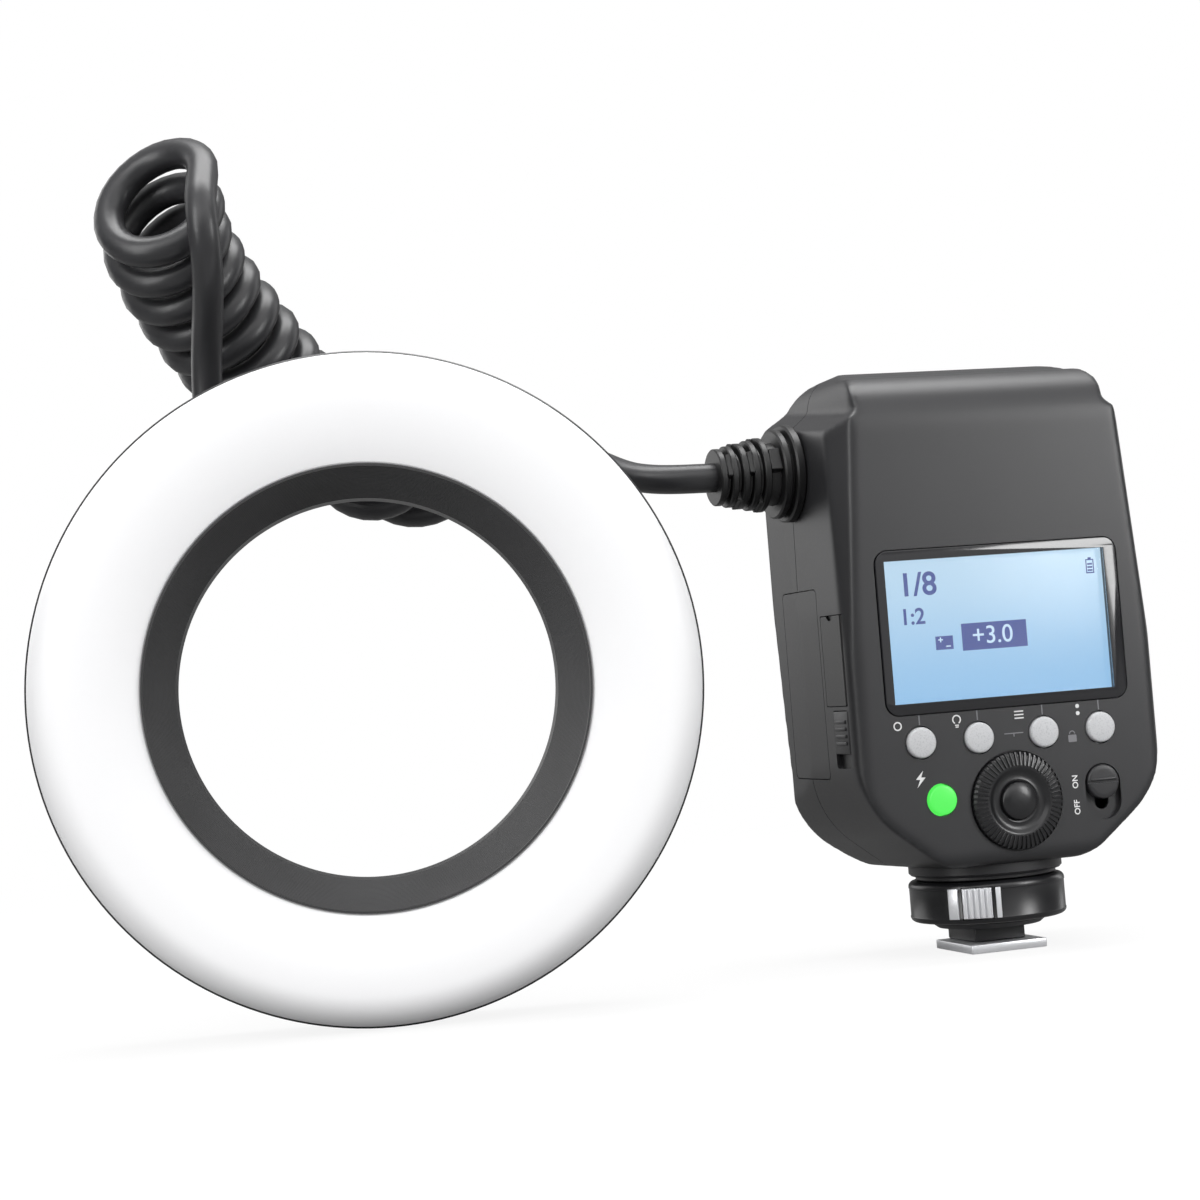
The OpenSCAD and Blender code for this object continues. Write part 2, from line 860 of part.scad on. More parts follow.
module power_switch() {
  groove = 0.5;
  stem_top = switch_sink - slide_gap;
  color(black_plastic)
    on_face(switch_right, thumb_z)
      difference() {
        union() {
          translate([0, 0, -stem_top])
            cylinder(d = thumb_d, h = stem_top + thumb_proud);
          translate([0, 0, -thumb_in])
            cylinder(d = switch_stem, h = thumb_in);
        }
        translate([0, 0, thumb_proud])
          cube([thumb_d + 1, 2 * groove, 2 * groove], center = true);
      }
}

module switch_body() {
  top_in = thumb_in + pass_gap;
  color(dark_metal)
    on_face(switch_right, switch_z)
      translate([-switch_box[0] / 2, -switch_box[1] / 2, face_y - board_y0])
        cube([switch_box[0], switch_box[1], board_y0 - face_y - top_in]);
}

module main_circuit_board() {
  color(board_green)
    difference() {
      intersection() {
        body_solid(board_inset);
        span([-board_half, board_y0, board_z0], [board_half, board_y1, board_z1]);
      }
      bosses(board_y0 - 1, board_y1 + 1, boss_r + boss_fit);
    }
}

module flash_capacitor() {
  color(black_plastic)
    translate([capacitor_right - capacitor_len / 2, board_y1 + capacitor_r + pass_gap, capacitor_z])
      rotate([0, 90, 0])
        cylinder(r = capacitor_r, h = capacitor_len);
}

module charge_transformer() {
  color("#8a6d2f")
    span([-transformer[0] / 2, board_y1, board_z0 + transformer_up],
         [transformer[0] / 2, board_y1 + transformer[1], board_z0 + transformer_up + transformer[2]]);
}

module battery_bay() {
  color(black_plastic)
    difference() {
      span([bay_x0, bay_y0, bay_z0], [bay_x1, bay_y1, bay_z1]);
      span([bay_x0 - 1, bay_y0 + bay_wall, bay_z0 + bay_wall],
           [bay_x1 - bay_wall, bay_y1 - bay_wall, bay_z1 - bay_wall]);
      contact_blades(contact_blade + 2 * slide_gap);
      intersection() {
        span([bay_x0 - 1, bay_y0 - 1, bay_z0 - 1], [bay_x1 + 1, bay_y1 + 1, bay_z1 + 1]);
        difference() {
          translate([-big / 2, -big / 2, 0])
            cube(big);
          body_solid(wall);
        }
      }
    }
}

module contact_blades(t) {
  bay_mid = (bay_y0 + bay_y1) / 2;
  for (i = [-1:1])
    translate([bay_x1 - bay_wall - slide_gap, bay_mid + blade_pitch * i, (bay_z0 + bay_z1) / 2])
      cube([2 * (bay_wall + blade_out), t, blade_h + t], center = true);
}

module battery_contacts() {
  color(bright_metal)
    intersection() {
      contact_blades(contact_blade);
      span([bay_x1 - bay_wall - slide_gap / 2, bay_y0, bay_z0], [bay_x1 + blade_out, bay_y1, bay_z1]);
    }
}

module battery_pack() {
  panel_in = 1.6;
  color(black_plastic) {
    intersection() {
      body_solid(0);
      span([side_x - 1, battery_y0 + panel_gap, battery_z0 + panel_gap],
           [bay_x0 - slide_gap, battery_y0 + battery_w - panel_gap, battery_z0 + battery_h - panel_gap]);
    }
    span([side_x + panel_in, battery_y0 + pack_in, battery_z0 + pack_in],
         [pack_x1, battery_y0 + battery_w - pack_in, battery_z0 + battery_h - pack_in]);
  }
}

module battery_latch() {
  mid = (latch_y0 + latch_y1) / 2;
  up = latch_z0 + latch_h / 2;
  grip = 1;
  color(black_plastic)
    difference() {
      union() {
        span([side_x - latch_proud, latch_y0, latch_z0],
             [side_x + latch_sink - slide_gap, latch_y1, latch_z0 + latch_h]);
        span([side_x, mid - latch_stem / 2, up - latch_stem / 2],
             [bay_x0 + slide_gap + latch_plate_t, mid + latch_stem / 2, up + latch_stem / 2]);
        span([bay_x0 + slide_gap, mid - latch_stem, up - latch_stem],
             [bay_x0 + slide_gap + latch_plate_t, mid + latch_stem, up + latch_stem]);
      }
      for (i = [-1:1])
        translate([side_x - latch_proud, mid, up + 2 * grip * i])
          cube([grip / 2, latch_w + 1, grip], center = true);
    }
}

module port_cover() {
  color(black_rubber) {
    span([hinge_x - hinge_r, port_y0 + hinge_r, port_z0],
         [hinge_x + hinge_r, port_y1, port_z0 + port_h]);
    translate([hinge_x, port_y0 + hinge_r, port_z0])
      cylinder(r = hinge_r, h = port_h);
    translate([hinge_x, port_y0 + hinge_r, port_z0 - hinge_pin_len])
      cylinder(r = hinge_pin_r, h = port_h + 2 * hinge_pin_len);
  }
}

module port_socket() {
  jack_r = 1.75;
  plug = [8.4, 2.6];
  x0 = bay_x0 + socket_gap;
  y0 = port_y0 + 2 * hinge_r;
  mid = (y0 + board_y0) / 2;
  edge = 1.5;
  color(dark_metal)
    difference() {
      span([x0, y0, port_z0 + edge], [x0 + socket_len, board_y0, port_z0 + port_h - edge]);
      translate([x0 - 1, mid, port_z0 + port_h / 4])
        rotate([0, 90, 0])
          cylinder(r = jack_r, h = socket_len);
      translate([x0, mid, port_z0 + port_h * 0.65])
        cube([2 * (socket_len - 1), plug[1], plug[0]], center = true);
    }
}

// Ribbed strain relief round the X axis, its tip at -X
module body_cable_gland() {
  ring_gap = 0.8;
  ring2_r = gland_r - 1;
  ribs_x = 2 * gland_ring_t + ring_gap;
  pitch = (gland_len - gland_rib_w - ribs_x) / (gland_ribs - 1);
  rib_step = (gland_rib_r - gland_tip_r) / (gland_ribs - 1);
  rib_cut = 1.3;
  clip_x = -wall - lean - slide_gap;
  ribs = [for (i = [1:gland_ribs - 1])
    let (x = ribs_x + i * pitch, r = gland_rib_r - rib_step * i)
      each [[r + rib_step - rib_cut, x - pitch + gland_rib_w], [r - rib_cut, x], [r, x],
            [r, x + gland_rib_w]]];
  color(black_rubber)
    translate([side_x, gland_y, gland_z])
      rotate([0, -90, 0])
        rotate_extrude()
          polygon(concat(
            [[cord_r, clip_x - gland_clip_t], [gland_clip_r, clip_x - gland_clip_t],
             [gland_clip_r, clip_x], [gland_neck_r, clip_x],
             [gland_neck_r, -gland_seat], [gland_r, -gland_seat], [gland_r, gland_ring_t],
             [ring2_r - rib_cut, gland_ring_t], [ring2_r - rib_cut, gland_ring_t + ring_gap],
             [ring2_r, gland_ring_t + ring_gap], [ring2_r, ribs_x], [gland_rib_r, ribs_x],
             [gland_rib_r, ribs_x + gland_rib_w]],
            ribs,
            [[cord_r, gland_len]]
          ));
}

module neck_ring() {
  color(black_plastic)
    difference() {
      union() {
        translate([0, 0, neck_z])
          cylinder(d = neck_d, h = neck_h);
        translate([0, 0, waist_z])
          cylinder(d = neck_d - 2 * waist_in, h = waist_h);
      }
      translate([0, 0, waist_z - 1])
        cylinder(r = wire_r, h = neck_h + waist_h + 2);
    }
}

// Local -Y points out through the tab
module at_tab() {
  rotate([0, 0, -tab_angle])
    children();
}

module trim_sector(a0, sweep, r0, r1) {
  rotate([0, 0, a0 - 90])
    translate([0, 0, tab_z0])
      rotate_extrude(angle = sweep)
        translate([r0, 0])
          square([r1 - r0, tab_h]);
}

module trim_bars(r1) {
  tab_half = asin(tab_w / 2 / collar_r);
  trim_sector(-tab_half - trim_gap - trim_wide, trim_wide, collar_r - trim_t, r1);
  trim_sector(tab_half + trim_gap, trim_thin, collar_r - trim_t, r1);
}

module tab_pocket() {
  depth = tab_depth + tab_travel + pass_gap;
  span([-tab_w / 2 - slide_gap, -collar_r - 1, tab_z0 - slide_gap],
       [tab_w / 2 + slide_gap, -collar_r + depth - tab_proud, tab_z0 + tab_h + slide_gap]);
}

module lock_collar() {
  color(black_plastic)
    difference() {
      rotate_extrude()
        polygon([
          [core_r + run_fit, collar_z0], [collar_r - collar_edge, collar_z0],
          [collar_r, collar_z0 + collar_edge], [collar_r, collar_z1 - collar_edge],
          [collar_r - collar_edge, collar_z1], [core_r + run_fit, collar_z1]
        ]);
      at_tab() {
        tab_pocket();
        trim_bars(collar_r + 1);
      }
    }
}

module lock_trim() {
  color(bright_metal)
    at_tab()
      trim_bars(collar_r + trim_proud);
}

module lock_tab() {
  front = -collar_r - tab_proud;
  color(bright_metal)
    at_tab()
      difference() {
        span([-tab_w / 2, front, tab_z0], [tab_w / 2, front + tab_depth, tab_z0 + tab_h]);
        for (i = [1:tab_grooves])
          translate([-tab_w / 2 + tab_w * i / (tab_grooves + 1), front, tab_z0 + tab_h / 2])
            cube([tab_groove, tab_groove, tab_h + 1], center = true);
      }
}

module shoe_base() {
  color(black_plastic)
    difference() {
      union() {
        span([-stem_w / 2, -stem_front, shoe_t], [stem_w / 2, stem_back, flange_z]);
        translate([0, 0, flange_z])
          cylinder(r1 = flange_r - flange_t, r2 = flange_r, h = flange_t);
        translate([0, 0, flange_z])
          cylinder(r = core_r, h = waist_z - flange_z);
      }
      translate([0, pin_y, 0])
        cylinder(r = pin_d / 2 + pin_fit, h = waist_z);
      translate([0, pin_y, well_z])
        cylinder(r = well_r, h = waist_z);
      contact_row(contact_d + 2 * contact_fit, waist_z);
    }
}

module contact_row(d, h) {
  for (x = [-1, 0, 1])
    translate([x * contact_pitch, 0, contact_lift])
      cylinder(d = d, h = h);
  for (x = [-0.5, 0.5])
    translate([x * contact_pitch, -contact_pitch, contact_lift])
      cylinder(d = d, h = h);
}

module contact_pins() {
  color("#c8a64a")
    contact_row(contact_d, contact_len);
}

module shoe_plate() {
  color(bright_metal)
    difference() {
      span([-shoe_w / 2, -shoe_len / 2, 0], [shoe_w / 2, shoe_len / 2, shoe_t]);
      translate([0, pin_y, -1])
        cylinder(r = pin_d / 2 + pin_fit, h = shoe_t + 2);
      translate([0, 0, -1])
        contact_row(contact_d + 2 * contact_fit, shoe_t + 2);
    }
}

module lock_pin() {
  tip_lift = 0.3;
  color(bright_metal)
    translate([0, pin_y, 0]) {
      translate([0, 0, tip_lift])
        cylinder(d = pin_d, h = head_z + head_t - tip_lift);
      translate([0, 0, head_z])
        cylinder(r = head_r, h = head_t);
    }
}

module lock_pin_spring() {
  color(bright_metal)
    translate([0, pin_y, well_z])
      difference() {
        cylinder(r = head_r, h = spring_h);
        translate([0, 0, -1])
          cylinder(r = pin_d / 2 + slide_gap, h = spring_h + 2);
      }
}

// Ring head: local X to the ring's right, local Y up, local Z out through the light
module at_ring() {
  translate([ring_x, ring_y, ring_r])
    rotate([0, 0, ring_yaw])
      rotate([90, 0, 0])
        children();
}

module ring_profile(points) {
  rotate_extrude($fn = 128)
    polygon(points);
}

module at_ring_screws(z) {
  for (a = screw_angles)
    rotate([0, 0, a])
      translate([screw_ring_r, 0, z])
        children();
}

module ring_rear_housing() {
  inner_r = bore_r + sleeve_t + sleeve_fit;
  in_chamfer = rear_chamfer + 0.4 * ring_wall;
  color(black_plastic)
    at_ring()
      difference() {
        union() {
          ring_profile([
            [inner_r, 0], [ring_r - rear_chamfer, 0], [ring_r, rear_chamfer], [ring_r, rim_depth],
            [ring_r - ring_wall, rim_depth], [ring_r - ring_wall, in_chamfer],
            [ring_r - in_chamfer, ring_wall], [inner_r, ring_wall]
          ]);
          at_ring_screws(ring_wall - eps)
            cylinder(r = post_r, h = board_gap + eps);
        }
        at_ring_screws(-1)
          cylinder(r = ring_screw_r + run_fit, h = ring_wall + board_gap + 2);
        at_ring_screws(-1)
          cylinder(r = ring_head_r + slide_gap, h = 1 + ring_head_t);
        for (sx = [-1, 1])
          translate([sx * lever_pin_x, 0, -1])
            cylinder(r = lever_pin_r + run_fit / 2, h = ring_wall + 2);
      }
}

module ring_bore_sleeve() {
  color(black_plastic)
    at_ring()
      ring_profile([
        [bore_r, 0], [bore_r + sleeve_t, 0], [bore_r + sleeve_t, bore_len],
        [mouth_r + lip_w, ring_depth - lip_t], [mouth_r + lip_w, ring_depth], [mouth_r, ring_depth],
        [bore_r, bore_len]
      ]);
}

module ring_diffuser() {
  in_r = mouth_r + lip_w + window_fit;
  arc_r = ring_r - pass_gap - crown_r;
  arc_z = ring_depth - window_dip - crown_r;
  front = ring_depth - window_sink;
  color("#f2f2f0")
    at_ring()
      ring_profile(concat(
        [[in_r, front - window_t], [in_r, front]],
        arc(arc_r, arc_z, crown_r, 90, 0, 12),
        [[arc_r + crown_r, rim_depth], [arc_r + crown_r - window_t, rim_depth]],
        arc(arc_r, arc_z, crown_r - window_t, 0, 90, 12)
      ));
}

module half_tray(start) {
  at_ring()
    rotate([0, 0, start - tray_angle / 2])
      rotate_extrude(angle = tray_angle, $fn = 128)
        polygon([
          [tray_mid - tray_half - tray_flare, tray_z1], [tray_mid - tray_half, tray_z0],
          [tray_mid + tray_half, tray_z0], [tray_mid + tray_half + tray_flare, tray_z1],
          [tray_mid + tray_half + tray_flare - tray_t, tray_z1],
          [tray_mid + tray_half - tray_t, tray_z0 + tray_t],
          [tray_mid - tray_half + tray_t, tray_z0 + tray_t],
          [tray_mid - tray_half - tray_flare + tray_t, tray_z1]
        ]);
}

module reflector_right() {
  color(bright_metal)
    half_tray(0);
}

module reflector_left() {
  color(bright_metal)
    half_tray(180);
}

module half_tube(start) {
  at_ring() {
    rotate([0, 0, start - tube_angle / 2])
      rotate_extrude(angle = tube_angle, $fn = 128)
        translate([tray_mid, tube_z])
          circle(d = tube_d);
    for (s = [-1, 1])
      rotate([0, 0, start + s * tube_angle / 2])
        translate([tray_mid, 0, tray_z0 + tray_t])
          cylinder(d = tube_d + 1, h = tube_z - tray_z0 + tube_d / 2);
  }
}

module flash_tube_right() {
  color("#e8ecef")
    half_tube(0);
}

module flash_tube_left() {
  color("#e8ecef")
    half_tube(180);
}

module ring_circuit_board() {
  color(board_green)
    at_ring()
      difference() {
        ring_profile([
          [ring_board_r0, ring_board_z], [ring_board_r1, ring_board_z],
          [ring_board_r1, tray_z0], [ring_board_r0, tray_z0]
        ]);
        at_ring_screws(ring_board_z - 1)
          cylinder(r = ring_screw_r + run_fit, h = ring_board_t + 2);
      }
}

module modelling_lamps() {
  color("#f6e7a0")
    at_ring()
      for (a = [90, 270], r = [-1, 1])
        rotate([0, 0, a])
          translate([tray_mid + r * lamp_w, 0, tray_z0 + lamp_t / 2])
            cube([lamp_w, lamp_w, lamp_t], center = true);
}

// Rocker that grips a lens adapter's flange; sx is +1 on the ring's right, -1 on its left
module lens_latch(sx) {
  z0 = -lever_gap - lever_t;
  arms = [
    [lever_claw_x, -lever_claw_drop, lever_claw_r],
    [lever_thumb_x, lever_thumb_rise, lever_thumb_r]
  ];
  at_ring()
    mirror([sx < 0 ? 1 : 0, 0, 0])
      difference() {
        translate([0, 0, z0])
          linear_extrude(height = lever_t)
            for (a = arms)
              hull() {
                translate([lever_pin_x, 0])
                  circle(r = lever_boss_r);
                translate([a[0], a[1]])
                  circle(r = a[2]);
              }
        translate([lever_pin_x, 0, z0 - 1])
          cylinder(r = lever_pin_r + run_fit, h = lever_t + 2);
        translate([lever_pin_x, 0, -lever_gap - lever_well_t])
          cylinder(r = lever_well_r, h = lever_well_t + 1);
      }
}

module lens_latch_right() {
  color(black_plastic)
    lens_latch(1);
}

module lens_latch_left() {
  color(black_plastic)
    lens_latch(-1);
}

module latch_pins() {
  head_z0 = -2 * lever_gap - lever_t - lever_head_t;
  color(dark_metal)
    at_ring()
      for (sx = [-1, 1])
        translate([sx * lever_pin_x, 0, 0]) {
          translate([0, 0, head_z0])
            cylinder(r = lever_head_r, h = lever_head_t);
          translate([0, 0, head_z0])
            cylinder(r = lever_pin_r, h = ring_wall - head_z0);
        }
}

module latch_springs() {
  color(bright_metal)
    at_ring()
      for (sx = [-1, 1])
        translate([sx * lever_pin_x, 0, slide_gap - lever_gap - lever_well_t])
          difference() {
            cylinder(r = lever_well_r - pass_gap, h = lever_well_t + lever_gap - slide_gap);
            translate([0, 0, -1])
              cylinder(r = lever_pin_r + slide_gap, h = lever_well_t + 3);
          }
}

module ring_cable_gland() {
  relief_cut = 0.9;
  step = relief_len / 5;
  relief = [for (i = [0:4])
    let (y = i * step, r = relief_r0 + (relief_r1 - relief_r0) * i / 4)
      each [[r, y], [r, y + step / 2], [r - relief_cut, y + step / 2], [r - relief_cut, y + step]]];
  color(black_rubber)
    at_ring()
      difference() {
        union() {
          span([outlet_x - outlet_w / 2, outlet_y0, -outlet_t], [outlet_x + outlet_w / 2, outlet_y1, 0]);
          translate([outlet_x, outlet_y1, -outlet_back])
            rotate([-90, 0, 0])
              rotate_extrude()
                polygon(concat([[0, -1], [relief_r0, -1]], relief, [[0, relief_len]]));
        }
        translate([outlet_x, outlet_y0 + outlet_floor, -outlet_back])
          rotate([-90, 0, 0])
            cylinder(r = cord_r, h = big);
      }
}

module ring_screws() {
  color(dark_metal)
    at_ring()
      at_ring_screws(0) {
        cylinder(r = ring_head_r, h = ring_head_t);
        cylinder(r = ring_screw_r, h = tray_z0 - flange_gap);
      }
}

// Smooth curve through points p, at s counted in spans
function curve(p, s) =
  let (
    i = min(floor(s), len(p) - 2),
    u = s - i,
    b = p[i],
    c = p[i + 1],
    a = i > 0 ? p[i - 1] : 2 * b - c,
    d = i + 2 < len(p) ? p[i + 2] : 2 * c - b
  )
  0.5 * (2 * b + (c - a) * u + (2 * a - 5 * b + 4 * c - d) * u * u + (3 * b - a - 3 * c + d) * u * u * u);

// Curl k counted in rings: a circle round the coil's axis that moves along it. The first curls face
// the right of the axis and the last ones face the back
function coil_s(k) = min(max(k / curl_rings / curls, 0), 1) * (len(coil_axis) - 1);
function coil_facing(k) =
  let (s = coil_s(k), h = 0.01, last = len(coil_axis) - 1, w = s / last)
    unit(
      unit(curve(coil_axis, min(s + h, last)) - curve(coil_axis, max(s - h, 0)))
      + pow(1 - w, mouth_fade) * mouth_turn + pow(w, end_fade) * end_turn
    );
function coil_out(k) =
  let (
    facing = coil_facing(k),
    side = unit(cross(facing, [0, 1, 0])),
    turn = curl_start + 360 * k / curl_rings
  )
  cos(turn) * side + sin(turn) * cross(side, facing);
function coil_r(k) = curl_r + mouth_grow * max(0, 1 - k / curl_rings);
function coil_point(k) = curve(coil_axis, coil_s(k)) + coil_r(k) * coil_out(k);
coil_last = curls * curl_rings;
coil_steps = [for (k = [0:floor(coil_last)]) k * coil_last / floor(coil_last)];
coil_points = [for (k = coil_steps) coil_point(k)];
probe = 0.05;
coil_in = unit(coil_point(probe) - coil_point(0));
coil_off = unit(coil_point(coil_last) - coil_point(coil_last - probe));
coil_start = coil_points[0] - cord_d * coil_in;
coil_end = coil_points[len(coil_points) - 1] + cord_d * coil_off;

head_tip = ring_point(outlet_x, outlet_y1 + relief_len, -outlet_back);
body_tip = [side_x - gland_len, gland_y, gland_z];
head_points = concat(
  [head_tip, head_tip + [0, 0, cord_d]], head_route, [coil_start - cord_d * coil_in, coil_start]
);
body_points = concat(
  [coil_end, coil_end + cord_d * coil_off], body_route, [body_tip - [cord_d, 0, 0], body_tip]
);

// Tube through path points; each ring has its own first normal
module tube(path, normals, sides) {
  n = len(path);
  tangents = [for (i = [0:n - 1]) unit(path[min(i + 1, n - 1)] - path[max(i - 1, 0)])];
  rings = [for (i = [0:n - 1])
    let (b = unit(cross(tangents[i], normals[i])), a = cross(b, tangents[i]))
      for (j = [0:sides - 1])
        path[i] + cord_r * (cos(360 * j / sides) * a + sin(360 * j / sides) * b)];
  walls = [for (i = [0:n - 2], j = [0:sides - 1])
    let (p = i * sides + j, q = i * sides + (j + 1) % sides)
      each [[p, p + sides, q], [q, p + sides, q + sides]]];
  start = [for (j = [1:sides - 2]) [0, j, j + 1]];
  finish = [for (j = [1:sides - 2]) [0, j + 1, j] + (n - 1) * sides * [1, 1, 1]];
  polyhedron(points = rings, faces = concat(walls, start, finish), convexity = 10);
}

function along_curve(p, steps) =
  concat([p[0]], [for (i = [0:steps]) curve(p, 1 + (len(p) - 3) * i / steps)], [p[len(p) - 1]]);

module cord_head_lead() {
  path = along_curve(head_points, 30);
  color(black_rubber)
    tube(path, [for (q = path) [1, 0, 0]], lead_sides);
}

module cord_curls() {
  n = len(coil_points);
  outs = [for (k = coil_steps) coil_out(k)];
  color(black_rubber)
    tube(concat([coil_start], coil_points, [coil_end]), concat([outs[0]], outs, [outs[n - 1]]), curl_sides);
}

module cord_body_lead() {
  path = along_curve(body_points, 16);
  color(black_rubber)
    tube(path, [for (q = path) [0, 0, 1]], lead_sides);
}

// Least gap between the curls' own points, half a turn or more apart
apart = curl_rings / 2;
curl_gap = min([for (i = [0:len(coil_points) - 1 - apart], j = [i + apart:len(coil_points) - 1])
  norm(coil_points[i] - coil_points[j])]) - cord_d;
lead_gap = min([for (p = along_curve(head_points, 60), q = coil_points)
  if (norm(p - coil_start) > 2 * cord_d) norm(p - q)]) - cord_d;
echo(least_gap_between_curls = curl_gap, least_gap_of_lead_to_curls = lead_gap);

ring_rear_housing();
ring_bore_sleeve();
ring_diffuser();
reflector_right();
reflector_left();
flash_tube_right();
flash_tube_left();
ring_circuit_board();
modelling_lamps();
lens_latch_right();
lens_latch_left();
latch_pins();
latch_springs();
ring_cable_gland();
ring_screws();
cord_head_lead();
cord_curls();
cord_body_lead();
rear_cover();
front_cover();
display_bezel();
display_glass();
display_panel();
mode_button();
lamp_button();
menu_button();
ratio_button();
test_button();
keypad_membrane();
control_dial();
set_button();
dial_encoder();
power_switch();
switch_body();
main_circuit_board();
flash_capacitor();
charge_transformer();
battery_bay();
battery_pack();
battery_contacts();
battery_latch();
port_cover();
port_socket();
body_cable_gland();
body_screws();
neck_ring();
lock_collar();
lock_trim();
lock_tab();
shoe_base();
shoe_plate();
lock_pin();
lock_pin_spring();
contact_pins();
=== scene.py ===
"""Looks for the macro ring flash: detailed pieces, finishes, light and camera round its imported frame.

The part's own frame holds throughout: the foot's underside is the origin, +Z is up and the display faces -Y.
Sizes in the classes are millimetres and become metres when a mesh is made.
"""

import logging
import math
from bisect import bisect_right
from dataclasses import dataclass, field
from enum import Enum
from itertools import accumulate
from typing import Any, Iterable, Optional, Sequence

import bpy
from mathutils import Matrix, Vector


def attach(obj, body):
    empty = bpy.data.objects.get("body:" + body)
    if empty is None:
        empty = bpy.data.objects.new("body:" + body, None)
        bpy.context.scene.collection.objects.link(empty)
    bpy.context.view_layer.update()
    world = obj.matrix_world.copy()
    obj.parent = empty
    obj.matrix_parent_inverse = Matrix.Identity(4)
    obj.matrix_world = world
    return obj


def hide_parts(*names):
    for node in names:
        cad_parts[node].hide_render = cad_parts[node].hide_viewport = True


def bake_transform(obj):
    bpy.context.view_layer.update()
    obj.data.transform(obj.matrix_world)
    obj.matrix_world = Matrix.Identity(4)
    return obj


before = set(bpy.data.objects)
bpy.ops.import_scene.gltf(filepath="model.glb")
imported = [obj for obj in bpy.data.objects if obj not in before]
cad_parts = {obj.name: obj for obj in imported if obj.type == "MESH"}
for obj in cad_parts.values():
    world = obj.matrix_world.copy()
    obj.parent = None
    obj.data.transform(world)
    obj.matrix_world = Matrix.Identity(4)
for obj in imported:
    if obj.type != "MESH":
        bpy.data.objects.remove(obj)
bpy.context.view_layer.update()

MM = 0.001
Point = Sequence[float]
Outline = list[tuple[float, float]]
Piece = bpy.types.Object
# Thickness of printed letters in millimetres, and where the ring's painted rim shade and the screen's colour
# change, in metres
LETTER_T = 0.03
RIM_SHADE = (0.0615, 0.0700)
SCREEN_FADE = (0.090, 0.056)
# How far a surface's roughness strays from its mean, and its colour with the display off
ROUGH_SPAN = 0.04
PANEL_OFF = "#15181c"
log = logging.getLogger("ring_flash")


def linear(code: str) -> tuple[float, float, float, float]:
    """Turns an sRGB hex colour into linear light.

    Args:
        code: Colour such as "#2c2c2e".

    Returns:
        Linear red, green, blue and an alpha of 1.
    """
    channels = [int(code[i:i + 2], 16) / 255 for i in (1, 3, 5)]
    r, g, b = [c / 12.92 if c <= 0.04045 else ((c + 0.055) / 1.055) ** 2.4 for c in channels]
    return r, g, b, 1.0


def bare_tree(owner: Any) -> bpy.types.NodeTree:
    """Turns on the nodes of a material or world and returns its emptied tree."""
    owner.use_nodes = True
    owner.node_tree.nodes.clear()
    return owner.node_tree


def add_node(tree: bpy.types.NodeTree, kind: str, links: Optional[dict] = None, **settings: Any) -> Any:
    """Adds a shader node with its settings and links.

    Args:
        tree: Node tree that gets the node.
        kind: Blender's name of the node type, without its "ShaderNode" prefix.
        links: Output socket for each linked input, by the input's name or number.
        **settings: Properties of the node, or values of its inputs with _ for a space.

    Returns:
        The new node.
    """
    node = tree.nodes.new("ShaderNode" + kind)
    for name, value in settings.items():
        if hasattr(node, name):
            setattr(node, name, value)
        else:
            node.inputs[name.replace("_", " ")].default_value = value
    for name, socket in (links or {}).items():
        tree.links.new(socket, node.inputs[name])
    return node


def arc(cx: float, cy: float, r: float, a0: float, a1: float, steps: int) -> Outline:
    """Points on an arc.

    Args:
        cx: Centre's first coordinate.
        cy: Centre's second coordinate.
        r: Radius.
        a0: First angle in degrees.
        a1: Last angle in degrees.
        steps: Number of steps between them.

    Returns:
        The points, both ends included.
    """
    angles = [math.radians(a0 + (a1 - a0) * i / steps) for i in range(steps + 1)]
    return [(cx + r * math.cos(a), cy + r * math.sin(a)) for a in angles]


def circle(r: float, corners: int = 24, cx: float = 0, cy: float = 0) -> Outline:
    """Corners of a full circle, the first of them straight to its right."""
    return arc(cx, cy, r, 0, 360 - 360 / corners, corners - 1)


def rounded(w: float, h: float, r: float, steps: int = 6) -> Outline:
    """Outline of a rectangle with round corners, round the origin.

    Args:
        w: Width.
        h: Height.
        r: Corner radius.
        steps: Steps in each corner.

    Returns:
        The outline's points.
    """
    x, y = w / 2 - r, h / 2 - r
    corners = ((x, y, 0), (-x, y, 90), (-x, -y, 180), (x, -y, 270))
    return [p for cx, cy, a in corners for p in arc(cx, cy, r, a, a + 90, steps)]


def mirrored(right: Outline) -> Outline:
    """Closes a right-hand outline with its mirror image in the second axis."""
    return right + [(-x, y) for x, y in reversed(right)]


def shift(x: float, y: float, z: float) -> Matrix:
    """A move given in millimetres."""
    return Matrix.Translation(Vector((x, y, z)) * MM)


def turn(angle: float, axis: str) -> Matrix:
    """A rotation in degrees about a main axis."""
    return Matrix.Rotation(math.radians(angle), 4, axis)


